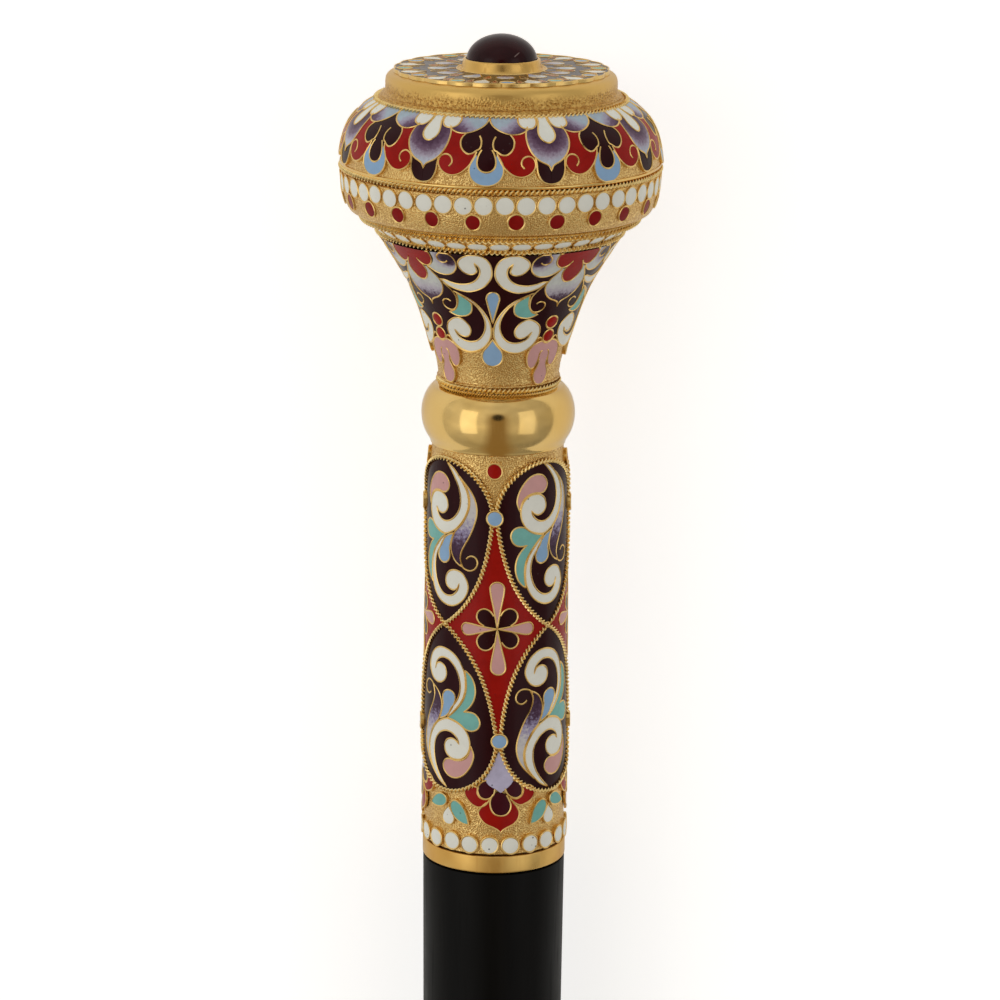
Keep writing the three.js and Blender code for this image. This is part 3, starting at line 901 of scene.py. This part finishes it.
def drawLozenge(lay, axis):
    middle, (reach, top) = gripSet["lozengeMiddle"], gripSet["lozengeTips"]  # tips to the side and up
    upper = [(reach, middle, 1), *reversed(lozengeSide), (0, top, 1), *mirrored(lozengeSide)]
    lower = [(x, 2 * middle - y) for x, y in lozengeSide]
    loop = [*upper, (-reach, middle, 1), *reversed(mirrored(lower)), (0, 2 * middle - top, 1), *lower]
    lay.at(axis)
    lay.cell("red", loop, level=0, edge=False)
    aside, level = gripSet["flowerAside"], gripSet["flowerLevel"]
    for turn, length, half in gripSet["flowerPetals"]:
        lay.at(axis + aside + jitter(0.05), level, 1, turn + jitter(0.02))
        lay.cell("pink", tear(length, half, 0.1), level=2)
    for turn in (0.785, 2.356, 3.927, 5.498):
        lay.at(axis + aside, level, 1 + jitter(0.02), turn + jitter(0.03))
        lay.cell("aubergine", darkPetal, edge=False)
        lay.line(darkPetal[2:9])


def drawPalmette(lay, axis):
    lay.at(axis, -0.15 + jitter(0.05), 1, jitter(0.01), (0, 12))
    lay.cell("red", redHeart, edge=False)
    lay.line(redHeart[:-2])
    for loop in redWings:
        lay.cell("red", loop)
    for loop in maroonLobes:
        lay.cell("maroon", loop, edge=False)
        lay.line(loop[:9])
    lay.cell("maroon", darkLobe, level=2, edge=False)
    lay.line(darkLobe[1:], level=2)
    lay.cell("lilac", kite, level=2, edge=False)


def drawFootLeaves(lay, axis):
    for flip in (False, True):
        lay.at(axis, jitter(0.06), flip=flip)
        for loop in footLeaves:
            lay.cell("turquoise", loop)
        lay.cell("white", footDrop, dome=0.1)


def makeGrip():
    s = gripSet
    body, wires, ropes = Piece("gripEnamel"), Piece("gripWires"), Piece("gripRopes")
    ground = gripSkin.ground(np.arange(s["foot"], s["fineTo"], s["fine"]),
                             np.arange(s["fineTo"], s["fineFrom"], s["coarse"]),
                             np.arange(s["fineFrom"], s["head"], s["fine"]), [s["head"]])
    spin(body, ground, "stipple", s["columns"], s["grain"])
    lay, cords = Layout(body, wires, gripSkin, s["rise"]), Layout(body, ropes, gripSkin, s["rise"])
    about = (0, s["panelMiddle"])
    panels = [curve(panelLoop(rise), step=0.3) for rise in s["panelRises"]]
    for k in range(4):
        drawLozenge(lay, (k - 2) * quarter)
    for k in range(8):  # the upper row, then the lower one upside down
        lower = k // 4
        middle, down, turn = (k % 4 - 1.5) * quarter, -s["rowsApart"] * lower, math.pi * lower
        for layer in (cords, lay):
            layer.at(middle, down, 1, turn, about)
        lay.cell("aubergine", panels[lower], level=0.3, edge=False)
        cords.rope(panels[lower], s["ropeScale"])
        sway = s["sway"].get(k, 0) + jitter(0.07)
        lay.at(middle + sway, down - s["sunk"].get(k, 0) + jitter(0.07), 1 + jitter(0.008),
               turn + jitter(0.01), about)
        drawPanel(lay)
    for k in range(4):
        axis = (k - 2) * quarter
        drawPalmette(lay, axis)
        if k % 2 == 0:
            drawFootLeaves(lay, axis)
        lay.at(axis)
        for finish, x, y, radius, level in s["dots"]:
            lay.dot(finish, x, y, radius, level=level)
    lay.at()
    for k in range(s["discs"]):
        x = (k + 0.5) * 4 * quarter / s["discs"] + jitter(0.06)
        lay.dot("white", x, s["discLevel"] + jitter(0.08), s["discRadius"])
    body.build("enamel", "grip_sleeve")
    wires.build("gilt")
    ropes.build("gilt")


makeGrip()
print("grip ready")


beadSet = dict(middle=72, rise=5, centre=8.55, reach=3.4, columns=180, span=(-0.72, 1.05), rings=56,
               neckRopes=((76.6, 9.1, 0.75), (77.33, 9.3, 1.25)))
beadWaist = [(67.3, 10.2), (67.34, 10.42), (67.5, 10.52), (67.8, 10.6), (68.15, 10.77), (68.65, 11.07)]


def makeBead():
    s = beadSet
    turn = np.linspace(*s["span"], s["rings"])
    outline = np.stack([s["middle"] + s["rise"] * np.sin(turn), s["centre"] + s["reach"] * np.cos(turn)], 1)
    bead = Piece("polishedBead")
    spin(bead, np.vstack([smoothRun(beadWaist), outline]), "polish", s["columns"])
    bead.build("gilt", "polished_bead", sharp=50)


def makeNeckRopes():
    ropes = Piece("neckRopes")
    for rope in beadSet["neckRopes"]:
        ropeRound(ropes, *rope)
    ropes.build("gilt", "neck_rope_lower", "neck_rope_upper")


makeBead()
makeNeckRopes()


bellSet = dict(rise=0.4, columns=300, grain=0.018, fine=0.3, coarse=1.5, foot=78.2, fineTo=88, head=100.4,
               radius=15, drops=-1, fleur=-12.78, fleurDots=((9.8, 1.3, 1.1), (7.35, 1.35, 1.15)),
               rope=(100.82, 18.85, 1.35))
bellFoot = [(76.7, 8.7), (77.75, 8.72), (77.82, 9.25), (77.86, 9.5), (77.95, 9.56), (78.1, 9.5),
    (78.16, 9.33)]
bellGround = [(78.16, 9.33), (80.2, 9.6), (83.4, 10.45), (86.5, 11.35), (89.7, 12.45), (92.8, 13.75),
    (96, 15.55), (98.3, 17), (99.9, 18), (100.4, 18.35)]
bellSkin = Skin(bellGround, bellSet["radius"], start=79, roll=-1.7, lean=-0.032)
bellQuarter = bellSet["radius"] * math.pi / 2

# half of each motif, left of the line through the drops or of the one through the fleur
bellEdge = [(-1, 9.3, 1), (-1.25, 8.3), (-1.35, 7.6), (-1.85, 6.65), (-2.75, 5.75), (-3.9, 5.15),
    (-5.2, 4.85), (-6.6, 4.85), (-8, 5.2), (-9.3, 5.95), (-10.2, 7), (-10.9, 7.3), (-11.5, 6.7),
    (-12.1, 6.3), (-12.78, 6.15)]
bellDrops = [
    [(-1, 16), (-1.75, 15.6), (-2.05, 14.8), (-1.9, 13.8), (-1.6, 12.5), (-1.3, 11.3), (-1, 10.1, 1)],
    [(-1, 7.3, 1), (-1.9, 6.2), (-2.9, 5.2), (-3.2, 4.3), (-2.9, 3.4), (-2.1, 2.85), (-1, 2.65)]]
bellUpperScroll = [(-9.2, 17.75, 1), (-8.3, 16.8), (-7.2, 16.2), (-6, 15.85), (-4.8, 15.75), (-3.6, 16.1),
    (-2.5, 16.8), (-1.75, 17.8), (-1.3, 19), (-1.25, 20.3), (-1.5, 21.6), (-2.1, 22.7), (-3, 23.35),
    (-3.9, 23.4), (-4.8, 22.9), (-5.5, 22.1), (-5.75, 21.2), (-5.5, 20.3), (-5, 19.6), (-4.2, 19.3),
    (-3.5, 19.6), (-3.25, 20.2), (-3.4, 21), (-3.5, 21.7, 1), (-2.95, 20.8), (-2.85, 19.8), (-3.1, 18.9),
    (-3.6, 18.1), (-4.4, 17.5), (-5.4, 17.2), (-6.4, 17.15), (-7.4, 17.35), (-8.3, 17.7)]
bellLowerScroll = [(-7.4, 15.6, 1), (-6, 14.9), (-4.6, 14.1), (-3.4, 13), (-2.3, 11.6), (-1.55, 10.2),
    (-1.25, 8.9), (-1.3, 7.8), (-1.8, 6.7), (-2.7, 5.8), (-3.9, 5.2), (-5.2, 4.9), (-6.6, 4.9), (-8, 5.3),
    (-9.3, 6.1), (-10.2, 7.2), (-10.45, 8.3), (-10.1, 9.3), (-9.3, 10), (-8.3, 10.5), (-7.3, 10.6),
    (-6.3, 10.2), (-5.5, 9.4), (-5.2, 8.6), (-5.5, 7.8), (-6.2, 7.4), (-7, 7.4), (-7.8, 7.7),
    (-8.7, 8.4, 1), (-8.2, 7.5), (-7.5, 7), (-6.4, 6.65), (-5.2, 6.6), (-4, 6.9), (-3.1, 7.6),
    (-2.5, 8.6), (-2.3, 9.7), (-2.5, 10.9), (-3.1, 12.1), (-3.9, 13.1), (-5.1, 14)]
bellCrescent = [(-6.95, 15.3, 1), (-6.2, 14.75), (-5.3, 14.15), (-4.75, 13.55), (-4.6, 12.9), (-4.75, 12),
    (-5.3, 11.4), (-6.2, 11.05), (-7.4, 10.95), (-8.4, 11.2), (-9.1, 11.5, 1), (-7.95, 12), (-7.3, 12.8),
    (-7, 13.7), (-6.95, 14.6)]
bellCurlWire = [(-8.9, 17.1), (-7.9, 15.9), (-7.3, 14.8), (-7.2, 13.6), (-7.4, 12.7), (-8, 12.1),
    (-8.8, 11.95), (-9.6, 12.2), (-10.1, 12.8), (-10, 13.4), (-9.5, 13.75), (-8.9, 13.8), (-8.4, 13.5)]
bellCurl = [(-10.7, 20.35, 1), (-10.1, 19.7), (-9.4, 19.15), (-8.5, 18.85), (-7.5, 18.9), (-6.7, 19.4),
    (-6.15, 20.3), (-6, 21.3), (-6.2, 22.3), (-6.7, 23.1), (-7.5, 23.7), (-8.1, 24.2, 1), (-9.4, 24.2, 1),
    (-9.3, 22.9), (-9.2, 21.8), (-9.6, 20.9)]
bellCurlHook = [(-8.05, 23.2), (-8.5, 22.5), (-8.45, 21.8), (-8, 21.35), (-7.5, 21.4), (-7.1, 21.8)]
fleurHeart = [(-10.7, 20.2, 1), (-10.1, 19.1), (-9.4, 18), (-9.1, 16.9), (-9.3, 15.9), (-9.9, 14.9),
    (-10.8, 14.2), (-11.8, 13.8), (-12.5, 13.4), (-12.78, 12.6, 1)]
fleurRed = [(-9.9, 24.2, 1), (-9.5, 23.3), (-9.35, 22.4), (-9.5, 21.4), (-10.1, 20.65), (-10.8, 20.5),
    (-11.5, 20.9), (-11.95, 21.6, 1), (-11.3, 20.4), (-11.1, 19.3), (-11.5, 18.1), (-12.2, 17.45),
    (-12.78, 17.35)]
trefoil = [(0, 6.3), (1.2, 6.5), (2.6, 6.2), (3.7, 5.5), (4.25, 4.4), (4.2, 3.3), (3.7, 2.35),
    (2.9, 1.95), (2.1, 2.15), (1.55, 2.9), (1.3, 3.7, 1), (1.05, 2.75), (1.45, 1.9), (1.95, 1.1),
    (2, 0.3), (1.6, -0.4), (0.85, -0.85), (0, -0.95)]
trefoilHook = [(1.3, 3.6), (1.25, 4.2), (1.0, 4.7), (0.7, 4.8)]


def curlShade(flat):
    return (np.hypot(flat[:, 0] + 7.0, flat[:, 1] - 22.3) - 0.7) / 1.9


def fleurShade(flat):
    return (flat[:, 1] - 13.2) / 4.2


def framed(bottom, top):
    # a field from a scalloped bottom edge, running left to right, to a level top
    left, right = bottom[0], bottom[-1]
    up = np.arange(0.3, 0.99, 0.02)[:, None]
    rise = right + up * (0, top - right[1])
    across = np.stack([np.linspace(right[0], left[0], 80), np.full(80, top)], 1)
    drop = (left + up * (0, top - left[1]))[::-1]
    return np.vstack([bottom, rise, across, drop])


def drawFleur(lay):
    axis = bellSet["fleur"]
    heart, red = bothSides(fleurHeart, axis), bothSides(fleurRed, axis)
    lay.cell("curl", heart, edge=False, shade=fleurShade)
    lay.line(heart)
    lay.cell("red", red, level=2, edge=False)
    lay.line(red, level=2)
    for dot in bellSet["fleurDots"]:
        lay.dot("red", axis, *dot)


def drawTrefoil(lay, axis):
    lay.at(axis, jitter(0.06), 1, jitter(0.02), (0, 5))
    lay.cell("pink", bothSides(trefoil), level=0.5)
    lay.line(trefoilHook, level=0.5)
    lay.line(mirrored(trefoilHook), level=0.5)


def drawBellHalf(lay):
    lay.cell("white", bellUpperScroll)
    lay.cell("white", bellLowerScroll)
    lay.cell("turquoise", bellCrescent)
    lay.cell("curl", bellCurl, edge=False, shade=curlShade)
    for path in (bellCurl[:12], bellCurlHook, bellCurlWire):
        lay.line(path)


def makeBell():
    s = bellSet
    body, wires, rope = Piece("bellEnamel"), Piece("bellWires"), Piece("bellRope")
    ground = bellSkin.ground(np.arange(s["foot"], s["fineTo"], s["fine"]),
                             np.arange(s["fineTo"], s["head"], s["coarse"]), [s["head"]])
    spin(body, np.vstack([bellFoot, ground]), "stipple", s["columns"], s["grain"])
    lay = Layout(body, wires, bellSkin, s["rise"])
    left = curve(bellEdge, closed=False, step=0.3)
    rightEdge = left * (-1, 1) + (2 * s["drops"], 0)
    bottom = np.vstack([left[::-1], rightEdge[1:]])
    field = framed(bottom, bellSkin.y[-1] - 0.05)
    for k in range(4):
        lay.at(k * bellQuarter)
        lay.cell("aubergine", field, level=0, edge=False)
    around = np.vstack([bottom[:-1] + (k * bellQuarter, 0) for k in range(4)])
    strip(wires, bellSkin, around, s["rise"], s["rise"] + 0.1)
    for k in range(4):
        for flip in (False, True):
            lay.at(k * bellQuarter, jitter(0.05), 1, jitter(0.006), (s["drops"], 12), flip)
            drawBellHalf(lay)
        lay.at(k * bellQuarter, jitter(0.05))
        for half in bellDrops:
            lay.cell("blue", bothSides(half, s["drops"]))
        drawFleur(lay)
        drawTrefoil(lay, k * bellQuarter + s["fleur"])
    body.build("enamel", "bell")
    wires.build("gilt")
    ropeRound(rope, *s["rope"])
    rope.build("gilt", "bell_rope")


makeBell()
print("bell ready")


beltSet = dict(
    columns=360, grain=0.01, radius=24, rise=0.12, facetRadius=19.7, facetRise=0.1,
    discs=dict(finish="white", count=49, start=0.73, level=108.75, radius=1.4, spread=0.04, rim=0.11,
               dome=0.12),
    dots=dict(finish="blood", count=24, start=2.4, level=106.27, radius=1.22, spread=0.12, rim=0.14,
              dome=0.02),
    ovals=dict(count=37, spread=0.06, radius=1.5, tall=0.98, rim=0.1),
    ropes=((102.95, 21.25, 1.45), (103.55, 21.6, 0.65)), equatorRope=(110.78, 24.42, 1.3))
beltOutline = [(100.7, 18.4), (101, 18.62), (101.45, 19.15), (101.9, 19.7), (102.3, 20.05),
    (102.45, 20.25), (103.2, 20.85), (103.9, 21.5), (103.97, 21.8), (103.98, 22.7), (104.15, 23.1),
    (104.6, 23.4), (105.3, 23.75), (106.1, 24), (107, 24.2), (108.5, 24.35), (109.8, 24.45),
    (110.25, 24.47), (110.34, 24.3), (110.36, 24), (110.85, 24)]
equatorFold = [(111.06, 24), (111.12, 24.45), (111.3, 24.62), (111.5, 24.68), (111.66, 24.6), (111.72, 24.4)]


def makeBelt():
    s = beltSet
    body, wires, ropes = Piece("beltEnamel"), Piece("beltWires"), Piece("beltRopes")
    spin(body, spaced(beltOutline, 0.27), "stipple", s["columns"], s["grain"])
    lay = Layout(body, wires, Skin(beltOutline[11:18], s["radius"], upright=True), s["rise"])
    span = s["radius"] * fullTurn
    for row in (s["discs"], s["dots"]):
        for k in range(row["count"]):
            x = row["start"] + k * span / row["count"] + jitter(row["spread"])
            y = row["level"] + jitter(0.05)
            lay.dot(row["finish"], x, y, row["radius"], rim=row["rim"], dome=row["dome"])
    row = s["ovals"]  # on the slope under the belt
    facet = Skin(beltOutline[1:6], s["facetRadius"])
    lay = Layout(body, wires, facet, s["facetRise"])
    for k in range(row["count"]):
        x = k * s["facetRadius"] * fullTurn / row["count"] + jitter(row["spread"])
        lay.dot("white", x, facet.y[-1] * 0.5, row["radius"], row["tall"], rim=row["rim"])
    body.build("enamel", "belt")
    wires.build("gilt")
    for rope in s["ropes"]:
        ropeRound(ropes, *rope)
    ropes.build("gilt", "belt_rope_lower", "belt_rope_upper")
    equator = Piece("equatorRopes")
    ropeRound(equator, *s["equatorRope"])
    spin(equator, spaced(smoothRun(equatorFold), 0.08), "polish", 240)
    equator.build("gilt", "equator_rope_lower", "equator_rope_upper")


makeBelt()
print("belt ready")

# the dome has eight light palmettes and eight dark ones
domeSet = dict(rise=0.36, columns=360, grain=0.01, fine=0.27, fineTo=114.8, coarseFrom=114.9, coarseRings=8,
               count=8, radius=24.5, first=-2.4, rope=(121.1, 19.1, 1.25))
domeFoot = [(111.15, 24), (111.63, 24), (111.64, 24.35)]
domeGround = [(111.65, 24.46), (113.1, 24.3), (114.6, 24), (116.2, 23.5), (117.7, 22.7), (119, 21.45),
    (119.9, 20.35), (120.5, 19.4), (120.75, 18.95)]
domeSkin = Skin(domeGround, domeSet["radius"], start=111.66, sway=0.013)
domePeriod = domeSet["radius"] * fullTurn / domeSet["count"]
halfPeriod = domePeriod / 2  # the light palmette's axis, from the dark one's

domeEdge = [(0, 0.04), (0.5, 0.06), (1.2, 0.27), (1.9, 0.75), (2.4, 1.48), (2.7, 2.64, 1), (3.2, 2.32),
    (3.9, 1.8), (4.9, 1.48), (5.7, 1.54), (6.5, 1.8), (7.1, 2.38), (7.4, 2.64, 1), (7.55, 2.01),
    (7.85, 1.27), (8.42, 0.59), (9, 0.29), (halfPeriod, 0.22)]
domeRed = [(1.6, 5.01, 1), (2.2, 4.74), (2.8, 4.64), (3.5, 5.01), (4, 5.64), (4.2, 6.43), (4.1, 7.11),
    (3.6, 8, 1), (4.6, 8.63), (5.6, 8.74), (6.6, 8.85, 1), (7, 7.79), (7.1, 6.22), (7.5, 4.85),
    (7.6, 4.22, 1), (7.35, 3.38), (7.1, 2.54), (6.5, 1.85), (5.7, 1.57), (4.9, 1.5), (3.9, 1.8),
    (3.2, 2.32), (2.5, 3.06), (1.9, 4.11)]
domeRedWire = [(1.55, 5.01), (1.9, 4.11), (2.5, 3.06), (3.2, 2.32), (3.9, 1.8), (4.9, 1.5), (5.7, 1.57),
    (6.5, 1.96), (7.1, 2.64), (7.3, 3.38), (7.05, 4.11), (6.4, 4.48), (5.7, 4.38), (5.25, 3.9),
    (5.2, 3.27), (5.6, 2.75)]
domeCurlWire = [(3.6, 7.9), (4.1, 7.11), (4.2, 6.43), (4, 5.64), (3.5, 5.01), (2.8, 4.64), (2.2, 4.74),
    (1.6, 5.16), (1.1, 5.48), (0.9, 6.22), (1, 6.85), (1.3, 7.48)]
domeLobe = [(0.1, 12.2, 1), (0.05, 11.16), (0.25, 10.21), (0.7, 9.48), (1.4, 8.85), (2.3, 8.32),
    (3.3, 7.95), (4.2, 7.85), (5.1, 7.95), (5.9, 8.27), (6.7, 8.79, 1), (6.6, 10.42), (6.2, 12.2, 1)]
domeCrescent = [(1.6, 4.53, 1), (2.3, 3.38), (2.55, 2.43), (2.4, 1.48), (1.9, 0.75), (1.2, 0.27),
    (0.5, 0.06), (0, 0.04)]
domeDrop = [(0.8, 5.27), (1.1, 4.74), (1.35, 4.01), (1.4, 3.27), (1.2, 2.64), (0.7, 2.17), (0, 2.01)]
domeSidePetal = [(-4.5, 10.7), (-4.45, 9.9), (-4.1, 9.25), (-3.5, 8.9), (-2.7, 8.8), (-1.95, 9),
    (-1.45, 9.55), (-1.2, 10.4), (-1.25, 11.3), (-1.4, 12.2, 1), (-3.3, 12.2, 1), (-4.2, 11.6)]
domeWhiteDrop = [(1.15, 12.2, 1), (0.95, 11.3), (0.9, 10.3), (1.1, 9.3), (1.35, 8.4), (1.35, 7.5),
    (1, 6.8), (0.5, 6.4), (0, 6.3)]
domeHeart = [(-3, 9.1), (-3.35, 8.3), (-3.5, 7.2), (-3.4, 6.2), (-3.05, 5.2), (-2.45, 4.3), (-1.65, 3.6),
    (-0.85, 3.2), (-0.3, 2.85), (0, 2.2, 1)]
domeHeartFoot = [(-2.3, 4.22), (-2.15, 3.17), (-2.1, 2.22), (-1.8, 1.27), (-1.2, 0.54), (0, 0.22)]


def lobeShade(flat):
    return (6.2 - flat[:, 0]) / 5 + (flat[:, 1] - 8.3) / 4 - 0.15


def heartShade(flat):
    return (np.hypot(flat[:, 0], flat[:, 1] - 8.4) - 2.5) / 2.6


def drawDark(lay, axis):
    for flip in (False, True):
        lay.at(axis, jitter(0.05), flip=flip)
        lay.cell("red", domeRed, edge=False)
        lay.line(domeRedWire, deep=0.5)
        lay.line(domeCurlWire)
        lay.cell("lobe", domeLobe, level=2, edge=False, shade=lobeShade)
        lay.line(domeLobe[:11], level=2)
    lay.at(axis, jitter(0.05))
    outer, inner = bothSides(domeCrescent), bothSides([(1.45, 4.4), *domeDrop[3:]])
    lay.cell("blue", outer + inner[::-1], edge=False)
    lay.line(outer, deep=0.5)
    lay.line(bothSides(domeDrop))


def drawLight(lay, axis):
    lay.at(axis, jitter(0.05))
    heart = bothSides(domeHeart)
    lay.cell("heart", heart + [(3, 9.6, 1), (-3, 9.6, 1)], level=2, edge=False, shade=heartShade)
    lay.line(heart, level=2)
    lay.line(bothSides(domeHeartFoot), deep=0.5)
    for flip in (False, True):
        lay.at(axis, jitter(0.04), flip=flip)
        lay.cell("white", domeSidePetal, level=3)
    lay.at(axis)
    lay.cell("white", bothSides(domeWhiteDrop), level=3.5)


def makeDome():
    s = domeSet
    body, wires, rope = Piece("domeEnamel"), Piece("domeWires"), Piece("capRope")
    foot, head = domeGround[0][0], domeGround[-1][0]
    ground = domeSkin.ground(np.arange(foot, s["fineTo"], s["fine"]),
                             np.linspace(s["coarseFrom"], head, s["coarseRings"]))
    spin(body, np.vstack([domeFoot, ground]), "stipple", s["columns"], s["grain"])
    lay = Layout(body, wires, domeSkin, s["rise"])
    half = curve(domeEdge, closed=False, step=0.3)
    field = framed(np.vstack([(half * (-1, 1))[::-1], half[1:]]), domeSkin.y[-1] - 0.03)
    for k in range(s["count"]):
        lay.at(s["first"] + k * domePeriod)
        lay.cell("aubergine", field, level=0, edge=False)
    for k in range(s["count"]):
        drawDark(lay, s["first"] + k * domePeriod)
        drawLight(lay, s["first"] + halfPeriod + k * domePeriod)
    body.build("enamel", "dome")
    wires.build("gilt")
    ropeRound(rope, *s["rope"])
    rope.build("gilt", "cap_rope")


makeDome()
print("dome ready")

# the cap is a drum with a rosette on its top
capSet = dict(columns=240, grain=0.008, level=125.2, high=0.42, rim=16.25, scallop=0.32, scallops=24,
              seat=6.75, punchedTo=123.35, petals=12, firstPetal=0.06, petal=(11.2, 1.45, 7.0),
              dot=(14.75, 1.15), redDrop=(11.3, 0.6, 8.4), whiteDrop=(15.9, 1.3, 12.0),
              spark=(15.1, 0.5, 12.6))
capOutline = [(121, 18.5), (121.2, 18.8), (121.32, 18.74), (121.4, 18.55), (121.55, 18.42),
    (121.75, 18.4), (121.84, 18.3), (121.9, 18.05), (122, 17.85), (122.2, 17.72), (122.6, 17.7),
    (123.2, 17.7), (123.9, 17.68), (124.3, 17.6), (124.65, 17.4), (124.95, 17), (125.12, 16.6),
    (125.2, 16)]


def drumGold():
    # punched below and burnished above, with a ragged line between
    wire = Finish("gold drum", {"Metallic": 1.0})
    punch = wire.group(stippleGroup, {"Scale": 2900.0})
    place = wire.place()
    edge = float(np.dot(onCane(capSet["punchedTo"], 0, 0), along))
    uneven = wire.between(wire.noise(place, 420.0, 4.0, 0.7), 0.2, 0.8, -0.0005, 0.0005)
    ragged = wire.maths("ADD", wire.vectors("DOT_PRODUCT", place, tuple(along)), uneven)
    worked = wire.between(ragged, edge + 0.0006, edge - 0.0004)
    # the punched hollows are painted darker: painted shade
    hollowShade = wire.maths("MULTIPLY", punch["Hollow"], worked)
    colour = wire.blend(hollowShade, (0.74, 0.47, 0.14, 1), (0.56, 0.29, 0.07, 1))
    stain = wire.between(wire.noise(place, 2600.0, 3.0, 0.7), 0.52, 0.66)
    colour = wire.blend(wire.maths("MULTIPLY", stain, worked), colour, (0.34, 0.16, 0.04, 1))
    height = wire.maths("MULTIPLY", punch["Height"], worked)
    return wire.dress(colour, wire.between(worked, 0.0, 1.0, 0.36, 0.4), height, 0.00015, 0.8)


finishes["drum"] = drumGold()


def frostShade(flat):
    return (np.hypot(flat[:, 0], flat[:, 1]) - 7.2) / 4.2


def makeCap():
    s = capSet
    body, wires = Piece("capEnamel"), Piece("capWires")
    spin(body, spaced(smoothRun(capOutline), 0.22), "drum", s["columns"], s["grain"])
    level, seat = s["level"], s["seat"]
    spin(body, [(level + s["high"], seat), (level + 0.02, seat), (level, 5.8)], "drum", 96)
    lay = Layout(body, wires, Table(level), s["high"], layer=0.02, half=0.09, crest=0.045)
    for half in (0, math.pi):
        a = half + np.linspace(0, math.pi, 241)
        rim = s["rim"] + s["scallop"] * (abs(np.sin(a * s["scallops"] / 2)) - 0.5)
        around = np.stack([np.cos(a), np.sin(a)], 1)
        edge = around * rim[:, None]
        lay.cell("aubergine", np.vstack([edge, around[::-4] * seat]), level=0, edge=False)
        lay.line(edge, level=0, deep=0.45)
    lay.line(disc(0, 0, seat + 0.1), closed=True, half=0.12)
    step = fullTurn / s["petals"]
    for k in range(s["petals"]):
        turn = k * step + s["firstPetal"] + jitter(0.012)
        lay.at(turn=turn)
        lay.cell("frost" if k % 2 else "curl", tear(*s["petal"]), shade=frostShade)
        lay.dot("turquoise" if k % 2 else "blue", 0, *s["dot"], rim=0.11)
        lay.at(turn=turn + step / 2)
        lay.cell("red" if k % 3 else "maroon", tear(*s["redDrop"]))
        lay.cell("white", tear(*s["whiteDrop"]))
        for sign in (-1, 1):
            lay.at(turn=turn + sign * step / 4)
            lay.cell("red", tear(*s["spark"]))
    body.build("enamel", "cap")
    wires.build("gilt")


makeCap()


bezelSet = dict(columns=144, pressed=0.035, pressedFrom=126.1)
bezelOutline = [(125.3, 6.1), (125.33, 6.22), (125.45, 6.28), (125.62, 6.26), (125.75, 6.2), (126, 6.12),
    (126.4, 6.03), (126.8, 5.95), (127.05, 5.89), (127.15, 5.81), (127.2, 5.7), (127.18, 5.5), (126.9, 5.5)]
stoneSet = dict(foot=126.75, high=4.12, radius=5.42, seat=5.2, columns=96, rings=40)


def makeBezel():
    s = bezelSet
    columns = s["columns"]
    path = spaced(bezelOutline, 0.06)
    angle = np.tile(aroundAngles(columns), len(path))
    t, r = np.repeat(path[:, 0], columns), np.repeat(path[:, 1], columns)
    pushed = s["pressed"] * np.sin(9 * angle + 1) * np.sin(5 * angle)  # pressed over the stone by hand
    share = np.clip((t - s["pressedFrom"]) / 0.9, 0, 1)
    points = onCane(t + pushed * share * 0.5, r - abs(pushed) * share, angle)
    piece = Piece("stoneBezel")
    piece.add(points, grid(len(path), columns), "satin")
    piece.build("gilt", "bezel")


def garnet():
    wire = Finish("garnet", {"Specular IOR Level": 0.16})
    place = wire.place()
    depth = wire.between(wire.noise(place, 240.0, 3.0), 0.3, 0.7)
    colour = wire.blend(depth, (0.017, 0.0024, 0.0036, 1), (0.036, 0.0046, 0.006, 1))
    low, high = onCane(128.0, 5.2, 0.36), onCane(128.9, 4.9, 0.66)  # the ends of a short painted highlight, a lighter and rougher streak
    span = np.linalg.norm(high - low)
    offset = wire.vectors("SUBTRACT", place, tuple(low))
    reach = wire.vectors("DOT_PRODUCT", offset, tuple((high - low) / span))
    far = wire.vectors("LENGTH", offset)
    aside = wire.maths("SUBTRACT", wire.maths("POWER", far, 2.0), wire.maths("POWER", reach, 2.0))
    thin = wire.between(aside, 0.3e-8, 1.2e-8, 1.0, 0.0)
    fromMiddle = wire.maths("ABSOLUTE", wire.maths("SUBTRACT", reach, span / 2))
    # a lighter, rougher streak along that short line: painted highlight
    paintedGlint = wire.maths("MULTIPLY", thin, wire.between(fromMiddle, span / 2 - 0.0003, span / 2, 1.0, 0.0))
    marks = wire.handled(0.08, 0.06)
    rough = wire.maths("ADD", 0.16, marks["Roughness Gain"])
    rough = wire.maths("ADD", rough, wire.maths("MULTIPLY", paintedGlint, 0.4))
    return wire.dress(wire.blend(paintedGlint, colour, (0.2, 0.14, 0.13, 1)), rough, marks["Height"], 0.00001, 0.3)


finishes["garnet"] = garnet()


def makeStone():
    s = stoneSet
    turn = np.linspace(0, math.pi / 2 - 0.02, s["rings"])
    outline = np.stack([s["foot"] + s["high"] * np.sin(turn) ** 0.97, s["radius"] * np.cos(turn)], 1)
    stone = Piece("garnetStone")
    spin(stone, np.vstack([[(s["foot"], s["seat"])], outline]), "garnet", s["columns"])
    stone.build("garnet", "cabochon", sharp=60)


makeBezel()
makeStone()
print("cap ready")
